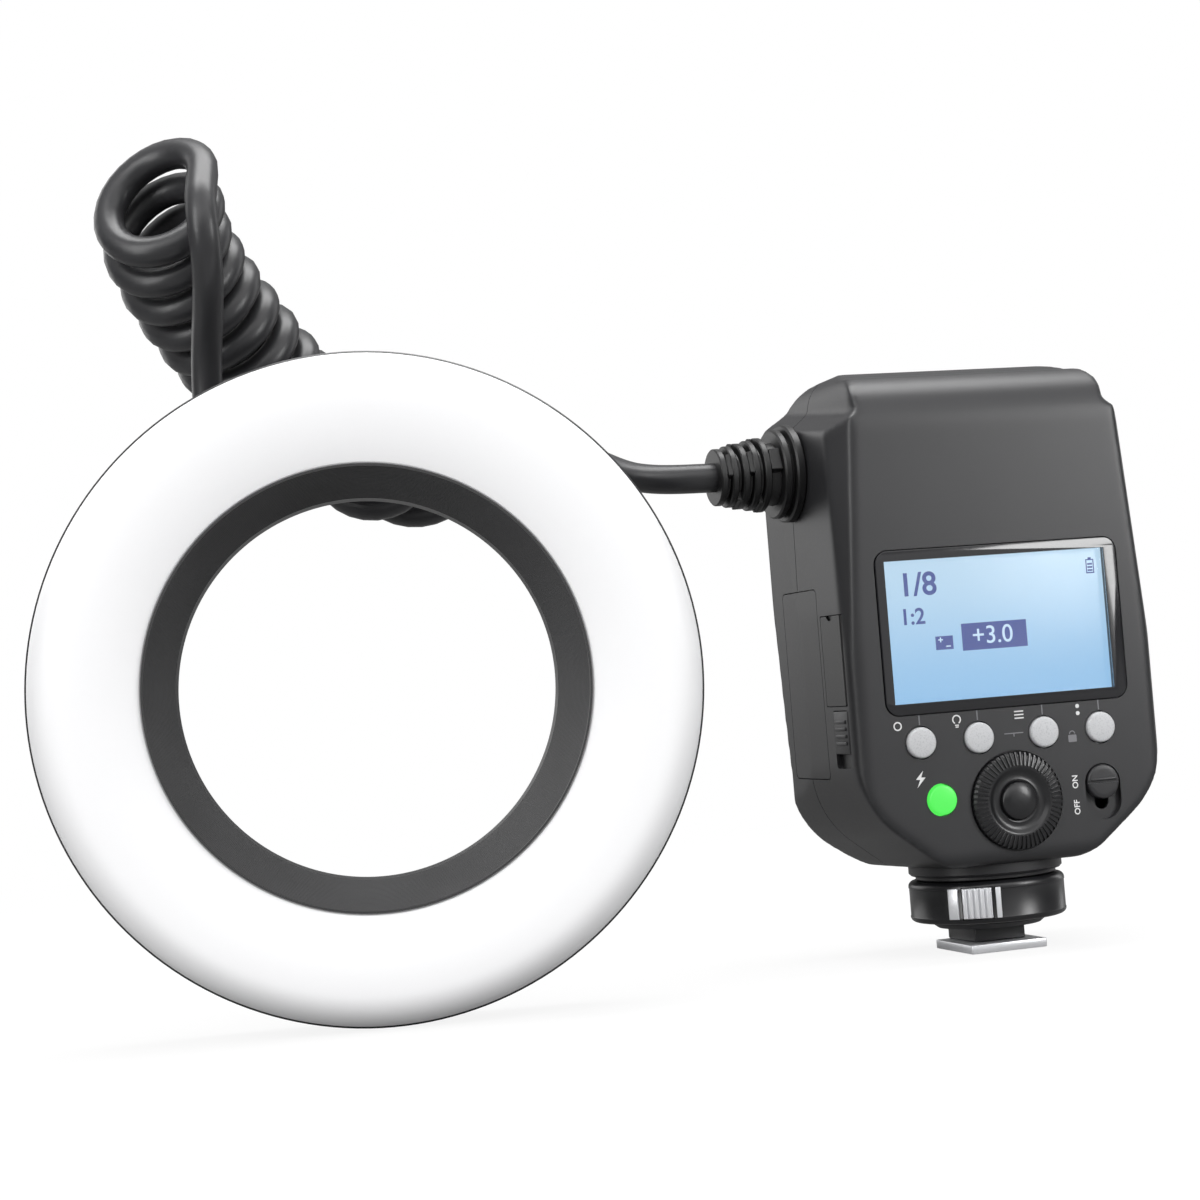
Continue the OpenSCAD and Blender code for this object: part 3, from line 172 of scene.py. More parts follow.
class Bench:
    """Mesh work by Blender's own operators, as at a modelling bench."""

    @staticmethod
    def clear() -> None:
        """Leaves edit mode and deselects every object."""
        if bpy.context.object and bpy.context.object.mode != "OBJECT":
            bpy.ops.object.mode_set(mode="OBJECT")
        bpy.ops.object.select_all(action="DESELECT")

    @staticmethod
    def label(piece: Piece, name: str) -> Piece:
        """Gives a piece and its mesh one name."""
        piece.name = piece.data.name = name
        return piece

    @staticmethod
    def move(piece: Piece, place: Matrix) -> Piece:
        """Moves a piece's mesh by a matrix."""
        piece.data.transform(place)
        return piece

    @staticmethod
    def mirror(piece: Piece) -> Piece:
        """Turns a right-hand piece into a left-hand one."""
        piece.data.transform(Matrix.Scale(-1, 4, (1, 0, 0)))
        piece.data.flip_normals()
        return piece

    @classmethod
    def pick(cls, *pieces: Piece) -> None:
        """Selects these pieces alone, the first of them active.

        Args:
            *pieces: Pieces to select.
        """
        cls.clear()
        for piece in pieces:
            piece.select_set(True)
        bpy.context.view_layer.objects.active = pieces[0]

    @classmethod
    def loop(cls, name: str, points: Sequence[Point]) -> Piece:
        """Makes a closed edge loop.

        Args:
            name: Name of the piece.
            points: Corners of the loop.

        Returns:
            A piece with no faces yet, from a circle whose vertices moved to the points.
        """
        cls.clear()
        bpy.ops.mesh.primitive_circle_add(vertices=len(points), radius=1)
        piece = cls.label(bpy.context.object, name)
        for vertex, point in zip(piece.data.vertices, points):
            vertex.co = Vector(point) * MM
        return piece

    @classmethod
    def lathe(cls, name: str, profile: Sequence[Point], steps: int = 96) -> Piece:
        """Spins a closed profile about the Z axis.

        Args:
            name: Name of the piece.
            profile: Corners as radius and height.
            steps: Segments of the full turn.

        Returns:
            The turned piece.
        """
        piece = cls.loop(name, [(r, 0, z) for r, z in profile])
        bpy.ops.object.mode_set(mode="EDIT")
        bpy.ops.mesh.select_all(action="SELECT")
        bpy.ops.mesh.spin(steps=steps, angle=math.tau, center=(0, 0, 0), axis=(0, 0, 1))
        cls.close_up()
        return piece

    @classmethod
    def prism(cls, name: str, outline: Sequence[Point], height: float, base: float = 0) -> Piece:
        """Extrudes an outline along Z.

        Args:
            name: Name of the piece.
            outline: Corners in X and Y.
            height: Length of the extrusion.
            base: Height that it starts from.

        Returns:
            The extruded piece.
        """
        piece = cls.loop(name, [(x, y, base) for x, y in outline])
        bpy.ops.object.mode_set(mode="EDIT")
        bpy.ops.mesh.select_all(action="SELECT")
        bpy.ops.mesh.edge_face_add()
        bpy.ops.mesh.extrude_region_move(TRANSFORM_OT_translate={"value": (0, 0, height * MM)})
        cls.close_up()
        return piece

    @classmethod
    def block(cls, name: str, low: Point, high: Point, edge: float = 0, segments: int = 3) -> Piece:
        """Makes a box with rounded edges.

        Args:
            name: Name of the piece.
            low: Lowest corner.
            high: Highest corner.
            edge: Radius of the edges, or 0 for a cutting tool.
            segments: Segments of each edge.

        Returns:
            The box.
        """
        cls.clear()
        a, b = Vector(low) * MM, Vector(high) * MM
        bpy.ops.mesh.primitive_cube_add(size=1, location=(a + b) / 2, scale=b - a)
        bpy.ops.object.transform_apply(location=True, rotation=True, scale=True)
        piece = cls.label(bpy.context.object, name)
        return cls.soften(piece, edge, segments) if edge else piece

    @classmethod
    def close_up(cls) -> None:
        """Merges doubles, points the faces outwards and leaves edit mode."""
        bpy.ops.mesh.select_all(action="SELECT")
        bpy.ops.mesh.remove_doubles(threshold=1e-6)
        bpy.ops.mesh.dissolve_degenerate(threshold=1e-7)
        bpy.ops.mesh.select_all(action="SELECT")
        bpy.ops.mesh.normals_make_consistent(inside=False)
        bpy.ops.object.mode_set(mode="OBJECT")

    @classmethod
    def modify(cls, piece: Piece, kind: str, **settings: Any) -> Piece:
        """Adds a modifier and applies it.

        Args:
            piece: Piece to change.
            kind: Blender's name of the modifier type.
            **settings: The modifier's settings.

        Returns:
            The same piece.
        """
        cls.pick(piece)
        modifier = piece.modifiers.new(kind.title(), kind)
        for name, value in settings.items():
            setattr(modifier, name, value)
        bpy.ops.object.modifier_apply(modifier=modifier.name)
        return piece

    @classmethod
    def soften(cls, piece: Piece, width: float, segments: int = 2, angle: float = 40) -> Piece:
        """Rounds the edges that are sharper than an angle."""
        return cls.modify(piece, "BEVEL", width=width * MM, segments=segments, limit_method="ANGLE",
                          angle_limit=math.radians(angle), harden_normals=False)

    @classmethod
    def carve(cls, piece: Piece, tool: Piece, operation: str = "DIFFERENCE", solver: str = "EXACT") -> Piece:
        """Cuts a piece with a tool, which is then thrown away.

        Args:
            piece: Piece to cut.
            tool: Piece that cuts it.
            operation: Blender's name of the boolean.
            solver: Blender's name of its solver.

        Returns:
            The same piece.
        """
        cls.modify(piece, "BOOLEAN", object=tool, operation=operation, solver=solver)
        bpy.data.objects.remove(tool)
        return piece

    @classmethod
    def join(cls, name: str, pieces: Sequence[Piece]) -> Piece:
        """Joins pieces into one mesh under a name.

        Args:
            name: Name of the whole.
            pieces: Pieces to join.

        Returns:
            The joined piece.
        """
        cls.pick(*pieces)
        if len(pieces) > 1:
            bpy.ops.object.join()
        return cls.label(bpy.context.view_layer.objects.active, name)

    @classmethod
    def copy(cls, piece: Piece, place: Optional[Matrix] = None) -> Piece:
        """Copies a piece with a mesh of its own, moved by a matrix.

        Args:
            piece: Piece to copy.
            place: Move of the copy, if any.

        Returns:
            The copy.
        """
        twin = piece.copy()
        twin.data = piece.data.copy()
        bpy.context.scene.collection.objects.link(twin)
        return cls.move(twin, place) if place else twin

    @classmethod
    def spread(cls, name: str, piece: Piece, places: Iterable[Matrix]) -> Piece:
        """Copies a piece to each place, joins the copies and throws the model away.

        Args:
            name: Name of the whole.
            piece: The model.
            places: Where the copies go.

        Returns:
            The joined copies.
        """
        copies = [cls.copy(piece, place) for place in places]
        bpy.data.objects.remove(piece)
        return cls.join(name, copies)

    @classmethod
    def cross_screw(cls, name: str, profile: Sequence[Point], arm: Point, depth: Point) -> Piece:
        """Makes a screw with a cross recess.

        Args:
            name: Name of the piece.
            profile: Its turned profile as radius and height.
            arm: Half the length and half the width of a recess arm.
            depth: Heights between which the recess is cut.

        Returns:
            The screw.
        """
        screw = cls.lathe(name, profile, 32)
        for angle in (0, 90):
            slot = cls.block("slot", (-arm[0], -arm[1], depth[0]), (arm[0], arm[1], depth[1]))
            cls.carve(screw, cls.move(slot, turn(angle, "Z")))
        return screw

    @classmethod
    def word(cls, name: str, text: str, size: float, bold: float = 0) -> Piece:
        """Makes numerals or a short word as flat solid letters.

        Args:
            name: Name of the piece.
            text: What it says.
            size: Height of the type.
            bold: How much wider the strokes are.

        Returns:
            A mesh in the XY plane, its middle at the origin.
        """
        cls.clear()
        bpy.ops.object.text_add()
        piece = bpy.context.object
        piece.data.body = text
        piece.data.size = size * MM
        piece.data.offset = bold * MM
        piece.data.extrude = LETTER_T * MM
        piece.data.align_x, piece.data.align_y = "CENTER", "CENTER"
        bpy.ops.object.convert(target="MESH")
        return cls.label(bpy.context.object, name)


class Grain(Enum):
    """What the eye meets on a surface."""

    MOULDED = "fine even grain of an eroded mould"
    SMOOTH = "polished mould with faint waviness"
    SPECKLED = "pale base with fine dark flecks"
    BRUSHED = "straight brush lines"
    # Painted shade: the milky sheet greys towards the ring's rim, where its rounded crown turns away from the
    # light
    FROSTED = "milky sheet, greyer towards the ring's rim"
    SCREEN = "backlight, deeper towards the lower edge"


@dataclass(frozen=True)
class Finish:
    """A real material and how its surface was made."""

    name: str
    slot: str
    base: str
    second: str
    grain: Grain
    roughness: float
    grain_mm: float = 0.4
    bump_mm: float = 0.01
    metallic: float = 0.0
    ior: float = 1.5
    coat: float = 0.0
    glow: float = 0.0
    clear: float = 0.0
    unlit: str = ""

    def colour_mix(self, tree: bpy.types.NodeTree, factor: Any) -> Any:
        """Mixes base and second colour.

        Args:
            tree: The material's node tree.
            factor: Socket of the mix's factor.

        Returns:
            Socket of the mixed colour.
        """
        mix = add_node(tree, "Mix", {0: factor}, data_type="RGBA")
        mix.inputs[6].default_value = linear(self.base)
        mix.inputs[7].default_value = linear(self.second)
        return mix.outputs[2]

    def pattern(self, tree: bpy.types.NodeTree) -> tuple[Any, Any]:
        """Builds the pattern.

        Args:
            tree: The material's node tree.

        Returns:
            Sockets of the colour mix's factor and of the bump's height.
        """
        place = add_node(tree, "TexCoord").outputs["Object"]
        scale = 1 / (self.grain_mm * MM)
        if self.grain is Grain.BRUSHED:
            place = add_node(tree, "Mapping", {"Vector": place}, Scale=(0.06, 0.06, 1)).outputs[0]
        fine = add_node(tree, "TexNoise", {"Vector": place}, Scale=scale, Detail=2.0, Roughness=0.55)
        height = fine.outputs["Fac"]
        if self.grain is Grain.SPECKLED:
            flecks = add_node(tree, "MapRange", {"Value": height}, From_Min=0.52, From_Max=0.66)
            return flecks.outputs[0], height
        if self.grain is Grain.FROSTED:
            local = add_node(tree, "VectorMath", {0: place}, operation="SUBTRACT")
            local.inputs[1].default_value = RingHead.centre()
            spot = local.outputs[0]
            along = add_node(tree, "VectorMath", {0: spot}, operation="DOT_PRODUCT")
            along.inputs[1].default_value = RingHead.axis()
            lift = along.outputs["Value"]
            square = add_node(tree, "VectorMath", {0: spot, 1: spot}, operation="DOT_PRODUCT")
            depth = add_node(tree, "Math", {0: lift, 1: lift}, operation="MULTIPLY")
            flat = add_node(tree, "Math", {0: square.outputs["Value"], 1: depth.outputs[0]},
                            operation="SUBTRACT")
            radius = add_node(tree, "Math", {0: flat.outputs[0]}, operation="SQRT")
            # Painted shade: the greyer second colour grows over the outer band, where the rounded crown turns
            # down
            rim = add_node(tree, "MapRange", {"Value": radius.outputs[0]}, interpolation_type="SMOOTHSTEP",
                           From_Min=RIM_SHADE[0], From_Max=RIM_SHADE[1])
            return rim.outputs[0], height
        if self.grain is Grain.SCREEN:
            up = add_node(tree, "SeparateXYZ", {0: place})
            deep = add_node(tree, "MapRange", {"Value": up.outputs["Z"]}, interpolation_type="SMOOTHSTEP",
                            From_Min=SCREEN_FADE[0], From_Max=SCREEN_FADE[1])
            return deep.outputs[0], height
        broad = add_node(tree, "TexNoise", {"Vector": place}, Scale=scale / 40, Detail=3.0)
        return broad.outputs["Fac"], height

    def build(self) -> bpy.types.Material:
        """Makes the material with its nodes, or finds the one made before.

        Returns:
            The material.
        """
        made = bpy.data.materials.get(self.name)
        if made:
            return made
        made = bpy.data.materials.new(self.name)
        tree = bare_tree(made)
        factor, height = self.pattern(tree)
        colour = self.colour_mix(tree, factor)
        links = {} if self.unlit else {"Base Color": colour}
        if self.glow:
            links["Emission Color"] = colour
        if self.bump_mm:
            bump = add_node(tree, "Bump", {"Height": height}, Distance=self.bump_mm * MM, Strength=0.6)
            links["Normal"] = bump.outputs[0]
        rough = add_node(tree, "MapRange", {"Value": height}, To_Min=self.roughness - ROUGH_SPAN,
                         To_Max=self.roughness + ROUGH_SPAN)
        links["Roughness"] = rough.outputs[0]
        shader = add_node(tree, "BsdfPrincipled", links, Metallic=self.metallic, IOR=self.ior,
                          Coat_Weight=self.coat, Transmission_Weight=self.clear)
        shader.inputs["Emission Strength"].default_value = self.glow
        if self.unlit:
            shader.inputs["Base Color"].default_value = linear(self.unlit)
        add_node(tree, "OutputMaterial", {"Surface": shader.outputs[0]})
        return made


# Eroded ABS: charcoal, satin, its grain drawn at twice the real size so that it shows
ABS = Finish("moulded_abs", "black_plastic", "#1f1f21", "#262628", Grain.MOULDED, 0.42, 0.5, 0.006)
# Polished ABS of the dial and caps: a little darker and glossier than the body
CAP_ABS = Finish("polished_abs", "black_plastic", "#151517", "#1b1b1d", Grain.SMOOTH, 0.30, 0.8, 0.002)
# Polyurethane cord jacket: soft sheen over dark grey
JACKET = Finish("cord_jacket", "black_rubber", "#262628", "#303032", Grain.SMOOTH, 0.38, 0.6, 0.004)
# Moulded rubber of glands and flap: matt and darker
RUBBER = Finish("moulded_rubber", "black_rubber", "#101011", "#161617", Grain.MOULDED, 0.42, 0.5, 0.005)
# Grooved lining of the bore: matt, a shade paler than the casing
BAFFLE = Finish("matt_baffle", "black_plastic", "#2c2c2d", "#3e3e3f", Grain.MOULDED, 0.42, 0.5, 0.008)
# Satin nickel plate of the foot, tab and bars: bright and even, with no brushing
PLATED = Finish("satin_nickel_plate", "bare_steel", "#e6e7ea", "#dcdde0", Grain.SMOOTH, 0.3, 0.4, 0.0,
                metallic=0.45)
# Frosted polycarbonate: milky white with the lamps on behind it, with painted shade greying it where it turns
# down to the rim
FROST = Finish("frosted_polycarbonate", "diffuser", "#e6e6e7", "#d4d4d5", Grain.FROSTED, 0.5, 0.6, 0.002,
               glow=0.15)
# Acrylic window frame: black print behind a polished sheet
FRAME = Finish("printed_acrylic", "dark_frame", "#161619", "#1d1d20", Grain.SMOOTH, 0.14, 1.2, 0.0, coat=0.3)
# Liquid-crystal panel with a pale blue backlight
SCREEN = Finish("backlit_panel", "screen", "#b9d6eb", "#90bee4", Grain.SCREEN, 0.4, 0.5, 0.0, glow=1.0,
                unlit=PANEL_OFF)
# Dark segments of the panel
SEGMENT = Finish("panel_segment", "screen", "#3b4a8c", "#435297", Grain.SMOOTH, 0.4, 0.5, 0.0, glow=1.0,
                 unlit=PANEL_OFF)
# Pale strokes inside a dark segment block
PALE = Finish("panel_gap", "screen", "#cfe4f4", "#c3dcf0", Grain.SMOOTH, 0.4, 0.5, 0.0, glow=1.0,
              unlit=PANEL_OFF)
# Silicone key with flecks
KEY = Finish("flecked_silicone", "grey_button", "#b9babc", "#a8a9ac", Grain.SPECKLED, 0.5, 0.35, 0.004)
# Green key with its lamp on
GREEN = Finish("lit_key", "green_button", "#52f058", "#5cf862", Grain.SMOOTH, 0.35, 0.6, 0.0, glow=0.9,
               unlit="#1c5a20")
# Nickel-plated steel of the springs and the lock pin, brushed along
NICKEL = Finish("brushed_nickel", "bare_steel", "#d4d5d8", "#c3c5c9", Grain.BRUSHED, 0.26, 0.2, 0.002,
                metallic=1)
# Blackened screw steel
BLUED = Finish("blackened_steel", "dark_steel", "#3a3b3e", "#45464a", Grain.BRUSHED, 0.38, 0.2, 0.003,
               metallic=1)
# White pad print
PRINT = Finish("white_print", "grey_button", "#dcdcdc", "#cfcfcf", Grain.SMOOTH, 0.55, 0.5, 0.0)
# Grey pad print, thinner ink
GREY_PRINT = Finish("grey_print", "grey_button", "#77777a", "#6c6c70", Grain.SMOOTH, 0.55, 0.5, 0.0)
# Clear acrylic over the panel
ACRYLIC = Finish("clear_acrylic", "clear_glass", "#ffffff", "#fafdff", Grain.SMOOTH, 0.06, 1.5, 0.0, clear=1,
                 ior=1.3)
# Pieces inside the casings
GILT = Finish("gilt_contact", "gold", "#d9b55a", "#c8a048", Grain.BRUSHED, 0.25, 0.2, 0.002, metallic=1)
BOARD = Finish("solder_mask", "board", "#1f5a35", "#2a6b40", Grain.SMOOTH, 0.35, 0.8, 0.004)
TRAY = Finish("bright_aluminium", "reflector", "#e4e5e8", "#d8dadd", Grain.BRUSHED, 0.2, 0.25, 0.002,
              metallic=1)
TUBE = Finish("tube_glass", "tube_glass", "#f4f8fa", "#eef4f8", Grain.SMOOTH, 0.05, 1.5, 0.0, clear=1)
LAMP = Finish("lamp_phosphor", "lamp", "#f4e6a4", "#efdc8c", Grain.SMOOTH, 0.4, 0.4, 0.003)
TAPE = Finish("winding_tape", "winding", "#a8842f", "#94732a", Grain.SMOOTH, 0.45, 0.6, 0.004)

INNER_NODES = {
    "reflector_right": TRAY, "reflector_left": TRAY, "flash_tube_right": TUBE, "flash_tube_left": TUBE,
    "ring_circuit_board": BOARD, "modelling_lamps": LAMP, "latch_springs": NICKEL, "keypad_membrane": KEY,
    "dial_encoder": BLUED, "switch_body": BLUED, "main_circuit_board": BOARD, "flash_capacitor": CAP_ABS,
    "charge_transformer": TAPE, "battery_bay": ABS, "battery_contacts": GILT, "port_socket": BLUED,
    "lock_pin_spring": NICKEL, "lock_pin": NICKEL, "contact_pins": GILT,
}


def dress(piece: Piece, finish: Finish, body: str, *nodes: str, angle: float = 32) -> Piece:
    """Gives a finished piece its material, shading and body.

    Args:
        piece: The piece.
        finish: Its finish.
        body: Body that it rides on.
        *nodes: Frame nodes that it stands for.
        angle: Edges sharper than this stay sharp.

    Returns:
        The same piece.
    """
    piece.data.materials.clear()
    piece.data.materials.append(finish.build())
    Bench.pick(piece)
    bpy.ops.object.shade_smooth_by_angle(angle=math.radians(angle))
    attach(piece, body)
    if nodes:
        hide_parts(*nodes)
    log.info("%s: %d faces on %s", piece.name, len(piece.data.polygons), body)
    return piece


@dataclass
class Studio:
    """Camera, floor and soft light."""

    eye: Point = (-250.1, -548.6, 66.4)
    yaw: float = 16.6
    pitch: float = 1.91
    roll: float = -4.55
    focal_px: float = 2600.0
    image_px: float = 1200.0
    sensor: float = 36.0
    mirror_share: float = 0.15

    def camera(self) -> None:
        """Places the camera at the photograph's view."""
        yaw, pitch, roll = (math.radians(a) for a in (self.yaw, self.pitch, self.roll))
        ahead = Vector((math.sin(yaw) * math.cos(pitch), math.cos(yaw) * math.cos(pitch), math.sin(pitch)))
        level = Vector((math.cos(yaw), -math.sin(yaw), 0))
        above = level.cross(ahead)
        right = math.cos(roll) * level + math.sin(roll) * above
        up = -math.sin(roll) * level + math.cos(roll) * above
        data = bpy.data.cameras.new("camera")
        data.sensor_width = self.sensor
        data.lens = self.focal_px / self.image_px * self.sensor
        data.clip_start, data.clip_end = 0.01, 20
        camera = bpy.data.objects.new("camera", data)
        place = Matrix((right, up, -ahead)).transposed().to_4x4()
        place.translation = Vector(self.eye) * MM
        camera.matrix_world = place
        bpy.context.scene.collection.objects.link(camera)
        bpy.context.scene.camera = camera

    def lamp(self, name: str, at: Point, target: Point, size: Point, watts: float) -> None:
        """Adds a soft box.

        Args:
            name: Its name.
            at: Its place in metres.
            target: Point that it faces, in metres.
            size: Width and height in metres.
            watts: Its power.
        """
        data = bpy.data.lights.new(name, "AREA")
        data.shape, data.size, data.size_y, data.energy = "RECTANGLE", size[0], size[1], watts
        lamp = bpy.data.objects.new(name, data)
        lamp.location = at
        lamp.rotation_euler = (Vector(target) - Vector(at)).to_track_quat("-Z", "Y").to_euler()
        bpy.context.scene.collection.objects.link(lamp)

    def seen(self, tree: bpy.types.NodeTree) -> Any:
        """Tells what is seen apart from what only catches light.

        Args:
            tree: The floor's node tree.

        Returns:
            A socket that is 1 for what the camera or glass sees, and less for a reflection.
        """
        path = add_node(tree, "LightPath")
        dim = add_node(tree, "Math", {0: path.outputs["Is Glossy Ray"]}, operation="MULTIPLY")
        dim.inputs[1].default_value = self.mirror_share
        first = add_node(tree, "Math", {0: path.outputs["Is Camera Ray"], 1: dim.outputs[0]},
                         operation="MAXIMUM")
        both = add_node(tree, "Math", {0: first.outputs[0], 1: path.outputs["Is Transmission Ray"]},
                        operation="MAXIMUM")
        return both.outputs[0]

    def room(self) -> None:
        """Makes the pale floor and the even room light."""
        scene = bpy.context.scene
        scene.view_settings.view_transform = "Standard"
        world = bpy.data.worlds.new("room")
        scene.world = world
        tree = bare_tree(world)
        aim = add_node(tree, "SeparateXYZ", {0: add_node(tree, "TexCoord").outputs["Generated"]})
        soft = add_node(tree, "MapRange", {"Value": aim.outputs["Z"]}, interpolation_type="SMOOTHSTEP",
                        From_Min=-0.2, From_Max=0.9, To_Min=0.05, To_Max=0.5)
        path = add_node(tree, "LightPath")
        level = add_node(tree, "Math", {0: path.outputs["Is Camera Ray"], 1: soft.outputs[0]},
                         operation="MAXIMUM")
        sky = add_node(tree, "Background", {"Strength": level.outputs[0]}, Color=(1, 1, 1, 1))
        add_node(tree, "OutputWorld", {"Surface": sky.outputs[0]})
        Bench.clear()
        bpy.ops.mesh.primitive_plane_add(size=6, location=(0, 0, -0.0002))
        floor = bpy.context.object
        floor.name = "floor"
        paint = bpy.data.materials.new("pale_floor")
        tree = bare_tree(paint)
        lit = add_node(tree, "BsdfDiffuse", Color=(0.8, 0.8, 0.8, 1))
        dim = add_node(tree, "BsdfDiffuse", Color=(0.18, 0.18, 0.18, 1))
        white = add_node(tree, "Emission", Color=(1, 1, 1, 1), Strength=1.0)
        place = add_node(tree, "TexCoord").outputs["Object"]
        away = add_node(tree, "VectorMath", {0: place}, operation="LENGTH")
        far = add_node(tree, "MapRange", {"Value": away.outputs["Value"]}, interpolation_type="SMOOTHSTEP",
                       From_Min=0.2, From_Max=0.6, To_Min=0.88, To_Max=1.0)
        pale = add_node(tree, "MixShader", {0: far.outputs[0], 1: lit.outputs[0], 2: white.outputs[0]})
        mix = add_node(tree, "MixShader", {0: self.seen(tree), 1: dim.outputs[0], 2: pale.outputs[0]})
        add_node(tree, "OutputMaterial", {"Surface": mix.outputs[0]})
        floor.data.materials.append(paint)

    def build(self) -> None:
        """Builds the whole studio."""
        self.camera()
        self.room()
        middle, body, shoulder = (-0.07, 0.0, 0.08), (0.0, 0.0, 0.1), (0.03, -0.02, 0.11)
        self.lamp("key_box", (-0.70, -0.95, 0.80), middle, (0.9, 0.9), 4.4)
        self.lamp("front_box", (0.35, -1.0, 0.95), middle, (1.3, 0.7), 4.2)
        self.lamp("side_box", (0.27, -0.33, 0.20), shoulder, (0.14, 0.2), 1.0)
        self.lamp("fill_box", (0.3, -1.1, 0.25), middle, (0.9, 0.5), 1.0)
        self.lamp("top_box", (0.0, 0.05, 0.75), body, (0.8, 0.3), 6)
        self.lamp("left_strip", (-0.80, -0.36, 0.3), body, (0.25, 0.8), 4)
        self.lamp("back_box", (-0.55, 0.95, 0.4), body, (0.8, 0.7), 2.5)
        self.lamp("right_strip", (0.8, 0.38, 0.3), body, (0.2, 0.8), 1.0)


@dataclass
class Cord:
    """The curly cord, from the controller's gland to the ring's outlet."""

    diameter: float = 6.7
    curl_r: float = 11.35
    mouth_grow: float = 0.2
    mouth_turn: Point = (0.42, 0.1, 0)
    end_turn: Point = (0, 1.3, 0)
    mouth_fade: int = 2
    end_fade: int = 4
    curls: float = 11.8
    start_turn: float = -45.0
    steps_per_curl: int = 28
    probe: float = 0.05 / 8
    ease: int = 24
    spacing: float = 1.6
    lead_steps: int = 60
    least_step: float = 0.2
    axis: tuple = (
        (-177.3, 1.4, 179.2), (-173.9, 11.8, 169.6), (-168, 20.3, 160.8), (-160.7, 27.5, 152.3),
        (-152.7, 34.3, 143.8), (-143.5, 41, 135.3), (-129.3, 48.7, 125.7), (-111.3, 56.8, 122),
    )
    head_route: tuple = (
        (-168, 7.5, 144.5), (-168, 2, 150.5), (-168.3, -5, 157), (-169, -11.2, 163), (-169.9, -14.2, 168.2),
    )
    body_route: tuple = ((-90, 48, 125.6), (-83.5, 41, 124.2), (-77.5, 29.5, 119.2), (-71.5, 15.5, 113))
    body_tip: Point = (-55.0, 8.5, 111.7)

    @staticmethod
    def curve(points: Sequence[Vector], s: float) -> Vector:
        """A smooth curve through points, at s counted in spans.

        Args:
            points: Points on the curve.
            s: Place on it, counted in spans.

        Returns:
            The point at s.
        """
        last = len(points) - 1
        i = min(int(s), last - 1)
        u = s - i
        b, c = points[i], points[i + 1]
        a = points[i - 1] if i > 0 else 2 * b - c
        d = points[i + 2] if i + 2 <= last else 2 * c - b
        return 0.5 * (2 * b + (c - a) * u + (2 * a - 5 * b + 4 * c - d) * u * u
                      + (3 * b - a - 3 * c + d) * u * u * u)

    def coil_point(self, t: float) -> Vector:
        """A point of the coil after t curls.

        Args:
            t: Number of curls from the mouth.

        Returns:
            The point on the centreline.
        """
        axis = [Vector(p) for p in self.axis]
        last = len(axis) - 1
        s = min(max(t / self.curls, 0), 1) * last
        along = (self.curve(axis, min(s + 0.01, last)) - self.curve(axis, max(s - 0.01, 0))).normalized()
        w = s / last
        mouth = (1 - w) ** self.mouth_fade * Vector(self.mouth_turn)
        end = w ** self.end_fade * Vector(self.end_turn)
        facing = (along + (mouth + end)).normalized()
        side = facing.cross(Vector((0, 1, 0))).normalized()
        angle = math.radians(self.start_turn + 360 * t)
        out = math.cos(angle) * side + math.sin(angle) * side.cross(facing)
        return self.curve(axis, s) + (self.curl_r + self.mouth_grow * max(0, 1 - t)) * out

    def lead(self, points: Sequence[Vector]) -> list[Vector]:
        """A free stretch through points, evenly spaced and with its bends eased.

        Args:
            points: Points of the route, both ends included.

        Returns:
            The eased centreline.
        """
        spans, steps = len(points) - 3, self.lead_steps
        middle = [self.curve(points, 1 + spans * i / steps) for i in range(steps + 1)]
        rough = [points[0], *middle, points[-1]]
        run = list(accumulate(((b - a).length for a, b in zip(rough, rough[1:])), initial=0))
        count = round(run[-1] / self.spacing)
        even = []
        for i in range(count + 1):
            at = run[-1] * i / count
            k = min(bisect_right(run, at), len(rough) - 1)
            even.append(rough[k - 1].lerp(rough[k], (at - run[k - 1]) / (run[k] - run[k - 1])))
        for _ in range(self.ease):
            eased = [0.25 * a + 0.5 * b + 0.25 * c for a, b, c in zip(even, even[1:], even[2:])]
            even = [*even[:2], *eased[1:-1], *even[-2:]]
        return even

    def path(self) -> list[Vector]:
        """The centreline from the gland to the ring's outlet.

        Returns:
            Its points in millimetres.
        """
        d = self.diameter
        turns = int(self.curls * self.steps_per_curl)
        coil = [self.coil_point(self.curls * i / turns) for i in range(turns + 1)]
        into = (self.coil_point(self.probe) - coil[0]).normalized()
        off = (coil[-1] - self.coil_point(self.curls - self.probe)).normalized()
        first, last = coil[0] - d * into, coil[-1] + d * off
        tip = RingHead.outlet_tip()
        head = [tip, tip + Vector((0, 0, d)), *map(Vector, self.head_route), first - d * into, first]
        body_tip = Vector(self.body_tip)
        body = [last, last + d * off, *map(Vector, self.body_route), body_tip - Vector((d, 0, 0)), body_tip]
        whole = self.lead(head) + coil + self.lead(body)
        whole.reverse()
        kept = [whole[0]]
        for point in whole[1:]:
            if (point - kept[-1]).length > self.least_step:
                kept.append(point)
        return kept

    def build(self) -> Piece:
        """Returns:
            The cord.
        """
        path = [p * MM for p in self.path()]
        Bench.clear()
        data = bpy.data.curves.new("curly_cord", "CURVE")
        data.dimensions, data.bevel_depth, data.bevel_resolution = "3D", self.diameter / 2 * MM, 5
        data.use_fill_caps, data.twist_mode = True, "MINIMUM"
        spline = data.splines.new("POLY")
        spline.points.add(len(path) - 1)
        for point, place in zip(spline.points, path):
            point.co = (*place, 1)
        piece = bpy.data.objects.new("curly_cord", data)
        bpy.context.scene.collection.objects.link(piece)
        Bench.pick(piece)
        bpy.ops.object.convert(target="MESH")
        piece = Bench.label(bpy.context.object, "curly_cord")
        piece.data.materials.append(JACKET.build())
        bpy.ops.object.shade_smooth_by_angle(angle=math.radians(40))
        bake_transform(piece)
        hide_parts("cord_head_lead", "cord_curls", "cord_body_lead")
        return piece


